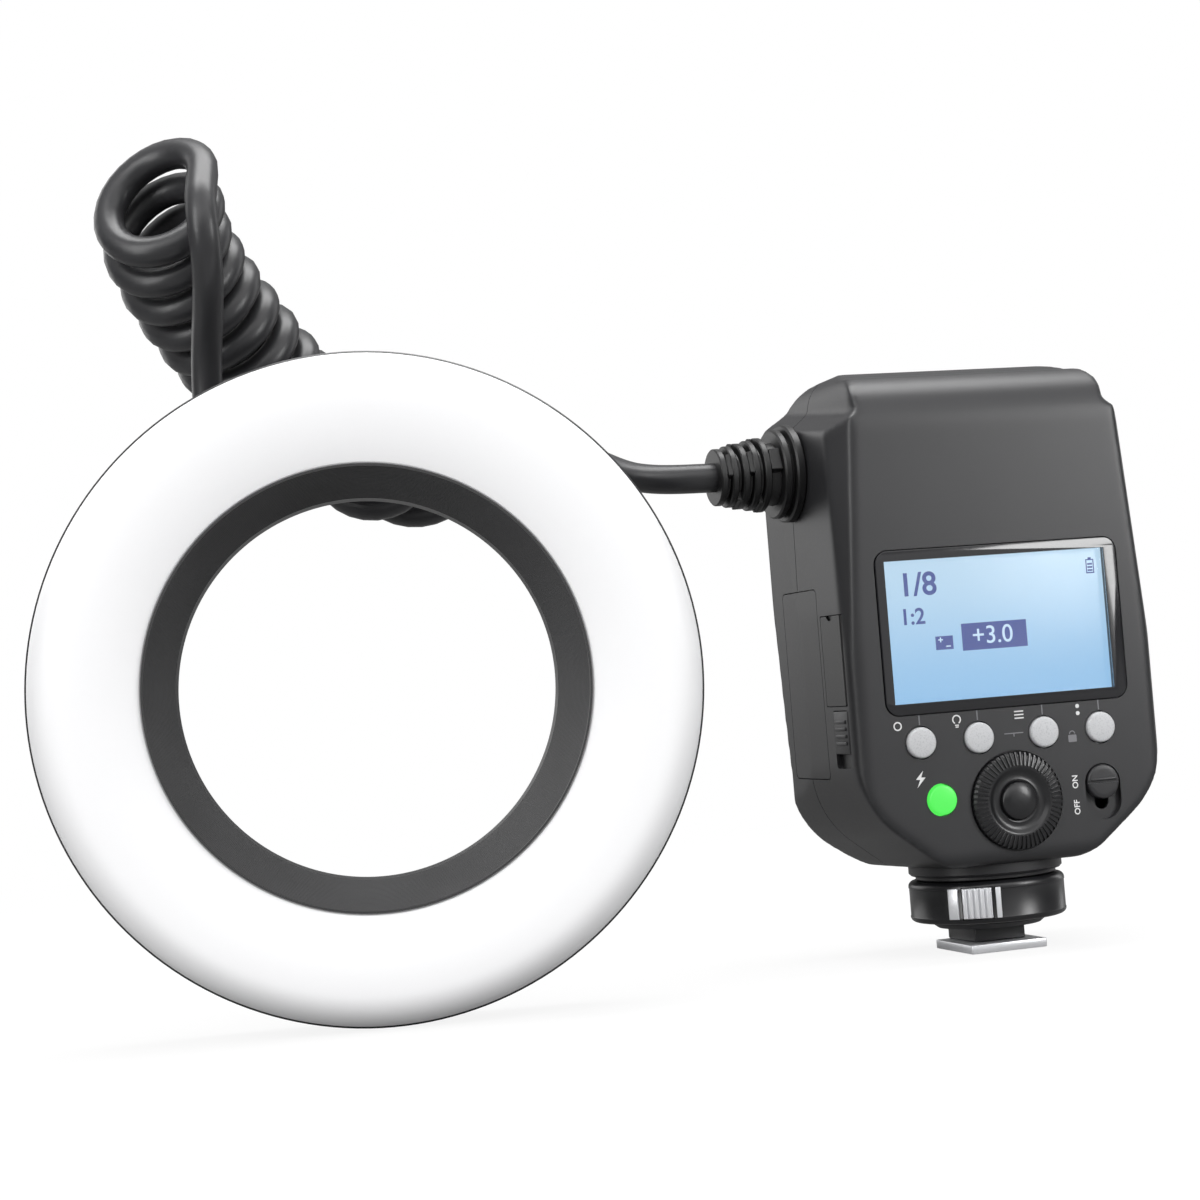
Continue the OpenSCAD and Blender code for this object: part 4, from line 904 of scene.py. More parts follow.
@dataclass
class RingHead:
    """The ring-shaped flash head."""

    x: float = -140.3
    y: float = -2.6
    yaw: float = -11.4
    outer_r: float = 70.0
    depth: float = 26.0
    bore_r: float = 40.0
    mouth_r: float = 45.3
    bore_len: float = 9.0
    sleeve_t: float = 2.0
    lip_w: float = 0.5
    rim: float = 17.5
    wall: float = 2.0
    rear_round: float = 5.0
    crown_r: float = 7.0
    window_t: float = 1.6
    grooves: int = 26
    groove_deep: float = 0.16
    steps: int = 176
    screw_r: float = 60.0
    pin_x: float = 58.0
    hub_r: float = 4.4
    outlet_x: float = -29.8
    outlet_y: Point = (34.0, 46.0)
    outlet_back: float = 7.9

    @classmethod
    def place(cls) -> Matrix:
        """The ring's own frame: X to its right, Y up, Z out through the light."""
        return shift(cls.x, cls.y, cls.outer_r) @ turn(cls.yaw, "Z") @ turn(90, "X")

    @classmethod
    def centre(cls) -> Vector:
        """The middle of the ring's rear face in metres."""
        return cls.place().translation

    @classmethod
    def axis(cls) -> Vector:
        """The direction in which the light leaves."""
        return cls.place().to_3x3() @ Vector((0, 0, 1))

    @classmethod
    def outlet_tip(cls) -> Vector:
        """Where the cord leaves the ring's gland, in millimetres."""
        return cls.place() @ (Vector((cls.outlet_x, cls.outlet_y[1] + 10, -cls.outlet_back)) * MM) / MM

    def put(self, piece: Piece, finish: Finish, *nodes: str, body: str = "ring_head",
            angle: float = 32) -> Piece:
        """Moves a piece from the ring's frame to its place and dresses it."""
        return dress(Bench.move(piece, self.place()), finish, body, *nodes, angle=angle)

    def screw_places(self) -> list[Matrix]:
        """Where the four screws stand."""
        return [turn(a, "Z") @ shift(self.screw_r, 0, 0) for a in (45, 135, 225, 315)]

    def housing(self) -> None:
        """The rear shell with a shallow ring groove in its rear face and its screw holes."""
        inner = self.bore_r + self.sleeve_t + 0.1
        r, t, c = self.outer_r, self.wall, self.rear_round
        profile = [(inner, 0.4), (inner + 0.4, 0), *arc(r - c, c, c, -90, 0, 10), (r, self.rim - 0.3),
                   (r - 0.3, self.rim), (r - t, self.rim), *arc(r - c, c + 0.4, c - t, 0, -90, 6), (inner, t)]
        shell = Bench.lathe("ring_housing", profile, self.steps)
        near, far = r - 12.5, r - 11.9
        step = Bench.lathe("step_tool", [(near, -1), (far, -1), (far, 0.35), (near, 0.35)], self.steps)
        Bench.carve(shell, step)
        hole = Bench.prism("hole_tool", circle(2.4), 2.1, -1)
        Bench.carve(shell, Bench.spread("hole_tool", hole, self.screw_places()))
        self.put(shell, ABS, "ring_rear_housing")

    def sleeve(self) -> None:
        """The grooved cone that lines the bore."""
        b, m, n, deep = self.bore_r, self.mouth_r, self.grooves, self.groove_deep
        outer = [(b, 0.3), (b + 0.3, 0), (b + self.sleeve_t, 0), (b + self.sleeve_t, self.bore_len),
                 (m + self.lip_w, self.depth - 1.4), (m + self.lip_w, self.depth), (m + 0.05, self.depth)]
        cone = []
        for i in range(n, 0, -1):
            for share, dip in ((i - 0.1, 0.0), (i - 0.25, deep), (i - 0.9, deep), (i - 1, 0.0)):
                r = b + (m - b) * share / n
                cone.append((r + dip, self.bore_len + (self.depth - 0.3 - self.bore_len) * share / n))
        self.put(Bench.lathe("bore_sleeve", outer + cone, self.steps), BAFFLE, "ring_bore_sleeve")

    def diffuser(self) -> None:
        """The frosted front window with its rounded outer edge."""
        inner = self.mouth_r + self.lip_w + 0.15
        r, c, t = self.outer_r - 0.55, self.crown_r, self.window_t
        z = self.depth - 0.8 - c
        front = self.depth - 0.4
        profile = [(inner, front - t), (inner, front - 0.35), (inner + 0.35, front),
                   *arc(r - c, z, c, 90, 0, 20), (r, self.rim), (r - t, self.rim),
                   *arc(r - c, z, c - t, 0, 90, 14)]
        self.put(Bench.lathe("ring_diffuser_window", profile, self.steps), FROST, "ring_diffuser", angle=50)

    def screws(self) -> None:
        """Four cross-recessed screws and two latch pins."""
        profile = [(0, 0.15), (1.7, 0.15), (2.15, 0.5), (2.15, 1.1), (1.1, 1.1), (1.1, 5), (0, 5)]
        screw = Bench.cross_screw("screw", profile, (1.2, 0.2), (-1, 0.7))
        self.put(Bench.spread("ring_screw_heads", screw, self.screw_places()), BLUED, "ring_screws")
        profile = [(0, -4.4), (1.9, -4.4), (2.4, -4.0), (2.4, -3.6), (1.25, -3.6), (1.25, 2), (0, 2)]
        pin = Bench.lathe("pin", profile, 40)
        Bench.carve(pin, Bench.block("slot", (-2.6, -0.25, -5), (2.6, 0.25, -4.05)))
        pins = Bench.spread("latch_pin_heads", pin, [shift(s * self.pin_x, 0, 0) for s in (-1, 1)])
        self.put(pins, BLUED, "latch_pins")

    def limb(self, x: float, y: float, r: float) -> Piece:
        """A rocker's tapered limb, from the hub round its pin to a round end at x and y.

        Args:
            x: End's place across the ring.
            y: End's height.
            r: Radius of the end.

        Returns:
            The limb.
        """
        hub_x, hub_r = self.pin_x, self.hub_r
        aim = math.degrees(math.atan2(y, x - hub_x))
        part = math.degrees(math.acos((hub_r - r) / math.hypot(x - hub_x, y)))
        hub = arc(hub_x, 0, hub_r, aim + part, aim + 360 - part, 20)
        return Bench.prism("limb", hub + arc(x, y, r, aim - part, aim + part, 14), 3.0, -3.3)

    def latches(self) -> None:
        """The two rockers that grip a lens adapter, with ridged thumb ends."""
        pin, thumb = self.pin_x, self.outer_r - 6.2
        for name in ("right", "left"):
            claw = self.limb(self.bore_r + 6.5, -10.5, 1.8)
            rocker = Bench.carve(claw, self.limb(thumb, 10.5, 3.2), "UNION")
            Bench.soften(rocker, 0.5, 3, 60)
            Bench.carve(rocker, Bench.prism("hole", circle(1.35, cx=pin), 6, -5))
            Bench.carve(rocker, Bench.prism("well", circle(2.6, cx=pin), 3, -2.0))
            ridge = Bench.block("ridge", (thumb - 1.9, -0.35, -3.7), (thumb + 1.9, 0.35, -3.2), 0.15)
            ridges = Bench.spread("ridge", ridge, [shift(0, y, 0) for y in (9.2, 10.5, 11.8)])
            rocker = Bench.join("lens_rocker_" + name, [rocker, ridges])
            if name == "left":
                Bench.mirror(rocker)
            self.put(rocker, ABS, "lens_latch_" + name, body="lens_latch_" + name)

    def outlet(self) -> None:
        """The cord outlet on the rear face, a soft block with a ribbed sleeve."""
        x, (y0, y1) = self.outlet_x, self.outlet_y
        box = Bench.block("outlet_block", (x - 7, y0, -13), (x + 7, y1, 0), 2.2, 5)
        profile = [(0, -1), (6, -1)]
        for i in range(5):
            r = 6 - 1.4 * i / 4
            profile += [(r, 2 * i), (r, 2 * i + 1), (r - 0.9, 2 * i + 1.2), (r - 0.9, 2 * i + 1.9)]
        sleeve = Bench.lathe("outlet_sleeve", profile + [(3.7, 10), (0, 10)], 48)
        Bench.move(Bench.soften(sleeve, 0.2, 2), shift(x, y1, -self.outlet_back) @ turn(-90, "X"))
        self.put(Bench.join("ring_cord_outlet", [box, sleeve]), RUBBER, "ring_cable_gland")

    def build(self) -> None:
        """Builds every piece of the head."""
        self.housing()
        self.sleeve()
        self.diffuser()
        self.screws()
        self.latches()
        self.outlet()


@dataclass
class Casing:
    """The controller's two covers and what is cut from their skin."""

    z0: float = 20.0
    height: float = 113.4
    half_w: float = 37.0
    face: float = -20.0
    back: float = 31.0
    wall: float = 2.0
    split: float = 8.5
    corner_r: float = 21.4
    corner_up: float = 25.8
    widest_up: float = 60.0
    flank: float = 38.0
    chin_r: float = 14.0
    flank_tilt: float = 4.5
    lean: float = 1.2
    edge_r: float = 3.0
    back_edge_r: float = 2.5
    bulge_r: float = 4.0
    top_edge_r: float = 8.0
    roll_r: float = 13.0
    roll_drop: float = 15.0
    dome_r: float = 41.0
    dome_turn: float = 20.0
    back_roll_r: float = 24.0
    back_roll_y: float = 7.0
    back_step: float = 6.0
    back_up: Point = (22.0, 68.0)
    back_taper: float = 1.4
    heel_r: float = 8.0
    shoulder_w: float = 5.0
    shoulder_slope: float = 0.8
    shoulder_up: float = 4.0
    shoulder_drop: float = 13.1
    shoulder_tilt: float = 6.0
    bevel_run: Point = (5.0, 9.0, 72.0)
    bevel_up: float = 30.0
    cover_gap: float = 0.12
    screws: tuple = ((-28, 36), (28, 36), (-25, 124.9), (25, 124.9))
    seat_r: float = 2.7
    voxel: float = 0.7
    reach: float = 200.0

    @property
    def top(self) -> float:
        """Height of the body's top."""
        return self.z0 + self.height

    @property
    def top_half(self) -> float:
        """Half the width of the raised top."""
        return self.half_w - self.lean - self.shoulder_w

    def front_outline(self, d: float) -> Outline:
        """Outline seen from the user, drawn in by d.

        Args:
            d: How far the form is drawn in.

        Returns:
            The closed outline.
        """
        r, f = self.corner_r, math.radians(self.flank)
        cz = self.z0 + self.corner_up
        foot = self.half_w - r + r * math.sin(f) - (cz - r * math.cos(f) - self.z0) / math.tan(f)
        chin_x, chin = foot - self.chin_r * math.tan(f / 2), self.chin_r
        return mirrored([*arc(chin_x, self.z0 + chin, chin - d, -90, self.flank - 90, 8),
                         *arc(self.half_w - r, cz, r - d, self.flank - 90, 0, 16),
                         (self.half_w - d, self.z0 + self.widest_up),
                         (self.half_w - self.lean - d, self.top + 1)])

    def side_outline(self, d: float) -> Outline:
        """Outline seen from the side, drawn in by d.

        Args:
            d: How far the form is drawn in.

        Returns:
            The closed outline.
        """
        low, heel, edge, back = self.back - self.back_step, self.heel_r, self.edge_r, self.back - d
        roll_y, roll_r, bend = self.back_roll_y, self.back_roll_r, 90 + self.dome_turn
        climb = math.degrees(math.acos(min(1, (back - roll_y) / (roll_r - d))))
        return [*arc(self.face + edge, self.z0 + edge, edge - d, 180, 270, 6),
                *arc(low - heel, self.z0 + heel, heel - d, -90, 0, 8),
                (low - d, self.z0 + self.back_up[0]), (back, self.z0 + self.back_up[1]),
                *arc(roll_y, self.top - roll_r, roll_r - d, climb, 90, 12),
                *arc(roll_y, self.top - self.dome_r, self.dome_r - d, 90, bend, 6)[1:],
                *arc(self.face + self.roll_r, self.top - self.roll_drop, self.roll_r - d, bend, 180, 10)]

    def plan_outline(self, d: float) -> Outline:
        """Outline seen from above, drawn in by d.

        Args:
            d: How far the form is drawn in.

        Returns:
            The closed outline.
        """
        e, b, w = self.edge_r, self.back_edge_r, self.half_w - self.back_taper
        return mirrored([*arc(self.half_w - e, self.face + e, e - d, -90, 0, 6),
                         (self.half_w - d, self.split), *arc(w - b, self.back - b, b - d, 0, 90, 6)])

    def shoulder(self, d: float) -> Piece:
        """What the sloping shoulders leave out on both sides of the raised top.

        Args:
            d: How far the form is drawn in.

        Returns:
            The cutting tool.
        """
        slope, up = self.shoulder_slope, self.shoulder_up
        far, half = 2 * self.half_w, self.top_half
        drop = d * math.hypot(1, slope)
        near_x = half - self.bulge_r
        near_z = up + slope * self.bulge_r - drop
        far_z = up - slope * (far - half) - drop
        outline = [(far, far_z), (near_x, near_z), (-near_x, near_z), (-far, far_z), (-far, far), (far, far)]
        cut = Bench.prism("shoulder_tool", outline, 2 * self.reach, -self.reach)
        start = shift(0, 0, self.top - self.shoulder_drop)
        Bench.move(cut, start @ turn(self.shoulder_tilt, "X") @ turn(90, "X"))
        e = self.top_edge_r
        front = mirrored([(half - d, self.z0), *arc(half - e, self.top - e, e - d, 0, 90, 10)])
        keep = Bench.move(Bench.prism("bulge_front", front, 2 * self.reach, -self.reach), turn(90, "X"))
        b = self.bulge_r
        plan = mirrored([*arc(half - b, self.face + b, b - d, -90, 0, 8), (half - d, self.back)])
        Bench.carve(keep, Bench.prism("bulge_plan", plan, self.reach), "INTERSECT")
        return Bench.carve(cut, keep)

    def bevel_tool(self, d: float, side: int) -> Piece:
        """What the long corner bevels leave out beside the display face.

        Args:
            d: How far the form is drawn in.
            side: 1 for the right bevel and -1 for the left one.

        Returns:
            The cutting tool.
        """
        inward, back, rise = self.bevel_run
        normal = Vector((back * rise, -inward * rise, inward * back)).normalized()
        far, wide = self.reach, self.reach / 2
        tool = Bench.block("bevel_tool", (-d, -wide, -wide), (far, wide, wide))
        Bench.move(tool, shift(self.half_w, self.face, self.z0 + self.bevel_up)
                   @ turn(math.degrees(math.atan2(normal.y, normal.x)), "Z")
                   @ turn(-math.degrees(math.asin(normal.z)), "Y"))
        return Bench.mirror(tool) if side < 0 else tool

    def solid(self, d: float) -> Piece:
        """The body's closed form, drawn in by d.

        Args:
            d: How far the form is drawn in.

        Returns:
            The solid.
        """
        body = Bench.prism("body_skin", self.front_outline(d), 2 * self.reach, -self.reach)
        Bench.move(body, shift(0, self.face, 0) @ turn(90 - self.flank_tilt, "X"))
        side = Bench.prism("side", self.side_outline(d), 2 * self.reach, -self.reach)
        Bench.carve(body, Bench.move(side, turn(90, "Z") @ turn(90, "X")), "INTERSECT")
        Bench.carve(body, Bench.prism("plan", self.plan_outline(d), self.reach), "INTERSECT")
        for s in (1, -1):
            Bench.carve(body, self.bevel_tool(d, s))
        return Bench.carve(body, self.shoulder(d))

    def skin(self) -> Piece:
        """The outer form with moulded, softened edges.

        Returns:
            The skin as a solid.
        """
        outer = self.solid(0)
        Bench.modify(outer, "REMESH", mode="VOXEL", voxel_size=self.voxel * MM)
        return Bench.modify(outer, "SMOOTH", factor=0.5, iterations=9)

    def half(self, name: str, shell: Piece, near: bool, tools: Sequence[Piece]) -> Piece:
        """Cuts one cover out of the shell.

        Args:
            name: Name of the cover.
            shell: The hollow body.
            near: True for the user's side.
            tools: What passes through this cover.

        Returns:
            The cover.
        """
        cover = Bench.label(Bench.copy(shell), name)
        gap = self.cover_gap
        low, high = (self.split - gap, self.reach) if near else (-self.reach, self.split + gap)
        slab = Bench.block("slab", (-self.reach, low, -self.reach), (self.reach, high, self.reach))
        Bench.carve(cover, slab, solver="MANIFOLD")
        for tool in tools:
            Bench.carve(cover, tool, solver="MANIFOLD")
        return cover


def on_face(x: float, z: float, face: float = -20.0) -> Matrix:
    """A frame on the display face: X to the right, Y up, Z out towards the user."""
    return shift(x, face, z) @ turn(90, "X")


def on_side(y: float, z: float, side: float = -37.0) -> Matrix:
    """A frame on the cord side: X towards the user, Y up, Z out to the left."""
    return shift(side, y, z) @ turn(-90, "Z") @ turn(90, "X")


@dataclass
class Panel:
    """Display and controls on the user's face."""

    display_z: float = 73.0
    bezel: Point = (58.6, 36.2)
    lit_low: Point = (-27.2, -15.7)
    lit_high: Point = (26.2, 15.8)
    corner: float = 3.0
    sheet: float = 0.15
    keys: dict = field(default_factory=lambda: {
        "mode_button": (-21.8, 48.6), "lamp_button": (-7.9, 48.6), "menu_button": (7.9, 48.6),
        "ratio_button": (21.8, 48.6)})
    key_r: float = 3.4
    test: Point = (-17.9, 35.7)
    test_r: float = 3.3
    dial: Point = (0.0, 34.0)
    dial_r: float = 10.8
    dial_ribs: int = 56
    set_r: float = 4.2
    switch: Point = (21.3, 34.2)
    switch_slot: Point = (8.7, 12.6)
    switch_stem: Point = (3.4, 8.0)
    thumb_up: float = 2.2
    opening: Point = (55.6, 33.6)
    pocket_deep: float = 1.35
    figures_deep: float = 1.2
    gauge: tuple = (
        ((-3.9, -5.6), (-1.9, -5.3)), ((-3.9, -5.6), (-3.65, -2.4)), ((-2.15, -5.6), (-1.9, -2.4)),
        ((-3.9, -2.65), (-1.9, -2.4)), ((-3.3, -2.4), (-2.5, -2.0)), ((-3.5, -5.1), (-2.3, -4.7)),
        ((-3.5, -4.4), (-2.3, -4.0)), ((-3.5, -3.7), (-2.3, -3.3)),
    )

    def tools(self) -> list[Piece]:
        """Tools for every opening in the user's face.

        Returns:
            The cutting tools.
        """
        (w, h), middle = self.bezel, (0, self.display_z)
        made = [self.tool(rounded(w + 0.5, h + 0.5, self.corner + 0.25), middle, self.pocket_deep),
                self.tool(rounded(*self.opening, 1), middle, 5)]
        for at, r in [(p, self.key_r) for p in self.keys.values()] + [(self.test, self.test_r)]:
            made.append(self.tool(circle(r + 0.32, 60), at, 5))
        made += [self.tool(circle(self.dial_r + 0.35, 60), self.dial, 0.8),
                 self.tool(circle(6.6, 60), self.dial, 5)]
        for (w, h), steps, deep in ((self.switch_slot, 10, 1.3), (self.switch_stem, 8, 6)):
            made.append(self.tool(rounded(w, h, w / 2 - 0.01, steps), self.switch, deep))
        return made

    @staticmethod
    def tool(outline: Sequence[Point], at: Point, deep: float) -> Piece:
        """A cutting tool that goes into the face to a depth."""
        return Bench.move(Bench.prism("face_tool", outline, deep + 5, -deep), on_face(*at))

    def put(self, piece: Piece, finish: Finish, at: Point, body: str, *nodes: str) -> Piece:
        """Moves a piece from the face's frame to its place and dresses it."""
        return dress(Bench.move(piece, on_face(*at)), finish, body, *nodes)

    def display(self) -> None:
        """Window frame, clear sheet, lit panel and its readout."""
        (x0, y0), (x1, y1) = self.lit_low, self.lit_high
        at, gap, lap = (0, self.display_z), 0.04, 0.6
        rim = Bench.prism("window_frame", rounded(*self.bezel, self.corner, 8), 1.5, -1.2)
        Bench.carve(Bench.soften(rim, 0.18, 2), Bench.block("hole", (x0, y0, -3), (x1, y1, 3)))
        self.put(rim, FRAME, at, "controller", "display_bezel")
        outline = rounded(x1 - x0 - gap, y1 - y0 - gap, 0.3, 3)
        cover = Bench.prism("clear_sheet", outline, self.sheet, -self.sheet)
        Bench.move(cover, shift((x0 + x1) / 2, (y0 + y1) / 2, 0))
        self.put(cover, ACRYLIC, at, "controller", "display_glass")
        panel = Bench.block("lit_panel", (x0 - lap, y0 - lap, -4.4), (x1 + lap, y1 + lap, -1.25), 0.2)
        leg = Bench.lathe("leg", [(0, -9.8), (1.5, -9.8), (1.5, -4.3), (0, -4.3)], 24)
        legs = Bench.spread("legs", leg, [shift(27 * sx, 15 * sy, 0) for sx in (-1, 1) for sy in (-1, 1)])
        self.put(Bench.join("lit_panel", [panel, legs]), SCREEN, at, "controller", "display_panel")
        self.readout()

    @staticmethod
    def segment(low: Point, high: Point, back: float, front: float) -> Piece:
        """A flat segment of the readout between two corners and two depths."""
        return Bench.block("segment", (*low, back), (*high, front), 0.01, 1)

    def readout(self) -> None:
        """Generic figures on the panel."""
        deep, at = -self.figures_deep, (0, self.display_z)
        back, front = deep - 0.02, deep + 0.02
        (x0, _), (x1, y1) = self.lit_low, self.lit_high
        dark = [Bench.move(Bench.word("big", "1/8", 7.2, 0.12), shift(x0 + 8.2, y1 - 5.6, deep)),
                Bench.move(Bench.word("small", "1:2", 5.0, 0.08), shift(x0 + 6.4, y1 - 12.6, deep)),
                self.segment((x0 + 17.8, -5.0), (x0 + 33.6, 1.0), back, front),
                self.segment((x0 + 11.4, -4.4), (x0 + 15.6, -1.4), back, front)]
        for (left, low), (right, high) in self.gauge:
            dark.append(self.segment((x1 + left, y1 + low), (x1 + right, y1 + high), back, front))
        self.put(Bench.join("readout_dark", dark), SEGMENT, at, "controller")
        pale = [Bench.move(Bench.word("value", "+3.0", 5.6, 0.02), shift(x0 + 25.2, -2.0, deep + 0.03))]
        for x, y, w, h in ((12.6, -2.2, 1.1, 0.28), (12.6, -2.2, 0.28, 1.1), (14.4, -3.7, 1.1, 0.28)):
            low, high = (x0 + x - w / 2, y - h / 2), (x0 + x + w / 2, y + h / 2)
            pale.append(self.segment(low, high, deep, deep + 0.05))
        self.put(Bench.join("readout_pale", pale), PALE, at, "controller")

    def button(self, name: str, at: Point, r: float, finish: Finish) -> None:
        """A round key with a soft crown, flange and stem.

        Args:
            name: Name of its body and node.
            at: Place on the face.
            r: Its radius.
            finish: Its finish.
        """
        profile = [(0, 1.12), (r * 0.5, 1.08), (r - 0.7, 0.98), *arc(r - 0.55, 0.4, 0.55, 80, 0, 5),
                   (r, -2.05), (r + 0.7, -2.05), (r + 0.7, -2.85), (1.5, -2.85), (1.5, -4.4), (0, -4.4)]
        self.put(Bench.lathe(name + "_key", profile, 64), finish, at, name, name)

    def buttons(self) -> None:
        """The four pale keys and the lit test key."""
        for name, at in self.keys.items():
            self.button(name, at, self.key_r, KEY)
        self.button("test_button", self.test, self.test_r, GREEN)

    def wheel(self) -> None:
        """The ribbed dial with its dished middle, and the key inside it."""
        r = self.dial_r
        profile = [(4.35, -3.6), (6.5, -3.6), (6.5, -0.6), (r - 0.4, -0.6), (r - 0.15, -0.3),
                   (r - 0.15, 0.5), (r - 0.7, 1.2), (7.6, 1.75), (7.1, 1.6), (6.6, 1.05), (5.6, 0.75),
                   (4.8, 0.95), (4.35, 0.8)]
        ring = Bench.lathe("dial", profile, 112)
        outline = [(7.75, -0.2), (r - 0.6, -0.29), (r, -0.25), (r, 0.25), (r - 0.6, 0.29), (7.75, 0.2)]
        rib = Bench.prism("rib", outline, 2.6, -0.5)
        inner_top, crest, outer_top = 2.05, 1.62, 1.0
        for vertex in rib.data.vertices:
            if vertex.co.z > 0 and vertex.co.x > (r - 0.3) * MM:
                vertex.co.z = outer_top * MM
            elif vertex.co.z > 0:
                vertex.co.z = (inner_top if vertex.co.x < 8.5 * MM else crest) * MM
        Bench.soften(rib, 0.07, 1)
        n = self.dial_ribs
        ribs = Bench.spread("ribs", rib, [turn(360 * i / n, "Z") for i in range(n)])
        self.put(Bench.join("dial_wheel", [ring, ribs]), CAP_ABS, self.dial, "control_dial", "control_dial")
        s = self.set_r
        crown = [(0, 2.65), (1.4, 2.6), (2.6, 2.4), (3.5, 2.0), *arc(s - 0.6, 1.25, 0.6, 60, 0, 4), (s, 0),
                 (2.4, 0), (2.4, -7), (0, -7)]
        self.put(Bench.lathe("set_key", crown, 64), CAP_ABS, self.dial, "set_button", "set_button")

    def slider(self) -> None:
        """The power switch's round thumb piece with its line."""
        profile = [(0, 0.75), (2.6, 0.72), *arc(3.35, 0.2, 0.5, 80, 0, 4), (3.85, -1.0), (1.5, -1.0),
                   (1.5, -6), (0, -6)]
        thumb = Bench.lathe("power_thumb", profile, 64)
        Bench.carve(thumb, Bench.block("line", (-5, -0.28, 0.35), (5, 0.28, 2)))
        rim = Bench.block("rim", (-3.1, 0.3, 0.4), (3.1, 0.75, 0.95), 0.12)
        at = (self.switch[0], self.switch[1] + self.thumb_up)
        self.put(Bench.join("power_thumb", [thumb, rim]), ABS, at, "power_switch", "power_switch")

    def plate(self, outline: Sequence[Point], x: float, z: float, spin: float = 0) -> Piece:
        """A thin printed mark on the face."""
        return Bench.move(Bench.prism("mark", outline, 0.05), on_face(x, z) @ turn(spin, "Z"))

    def bar(self, x: float, z: float, w: float, h: float) -> Piece:
        """A thin printed bar."""
        return self.plate([(-w / 2, -h / 2), (w / 2, -h / 2), (w / 2, h / 2), (-w / 2, h / 2)], x, z)

    def ring_mark(self, x: float, z: float, r: float, w: float, a0: float = 0, a1: float = 359) -> Piece:
        """A thin printed arc, or a ring with a hairline gap."""
        return self.plate(arc(0, 0, r, a0, a1, 24) + arc(0, 0, r - w, a1, a0, 24), x, z)

    def signs(self) -> None:
        """Plain signs beside the controls: lamp, lock, flash, lists and the switch's two states."""
        bolt = [(0.5, 1.9), (-1.1, -0.1), (-0.1, -0.1), (-0.7, -1.9), (1.1, 0.45), (0.1, 0.45)]
        white = [self.plate(bolt, -22.6, 40.6, -6)]
        white += [self.ring_mark(-12.9, 53.0, 1.05, 0.28, -60, 240), self.bar(-12.9, 51.75, 0.9, 0.25),
                  self.bar(-12.9, 51.35, 0.7, 0.25)]
        white += [self.bar(2.2, 52.9 + 0.75 * i, 2.2, 0.28) for i in (-1, 0, 1)]
        white += [self.plate(rounded(0.9, 0.9, 0.4, 4), 16.6, 52.9 + dz) for dz in (0.8, -0.8)]
        white += [self.ring_mark(-27.0, 52.6, 1.0, 0.3)]
        for text, z in (("ON", 36.9), ("OFF", 31.2)):
            white.append(Bench.move(Bench.word("word", text, 1.9, 0.03), on_face(14.6, z) @ turn(90, "Z")))
        dress(Bench.join("white_signs", white), PRINT, "controller")
        grey = [self.bar(0.6, 48.9, 4.6, 0.22), self.bar(0.6, 48.5, 0.22, 0.7)]
        grey += [self.plate(rounded(2.0, 1.6, 0.2, 3), 14.8, 46.6),
                 self.ring_mark(14.8, 47.6, 0.75, 0.22, 0, 180)]
        grey += [self.bar(x, 53.6, 0.25, 2.2) for x, _ in self.keys.values()]
        dress(Bench.join("grey_signs", grey), GREY_PRINT, "controller")

    def build(self) -> None:
        """Builds every piece on the face."""
        self.display()
        self.buttons()
        self.wheel()
        self.slider()
        self.signs()


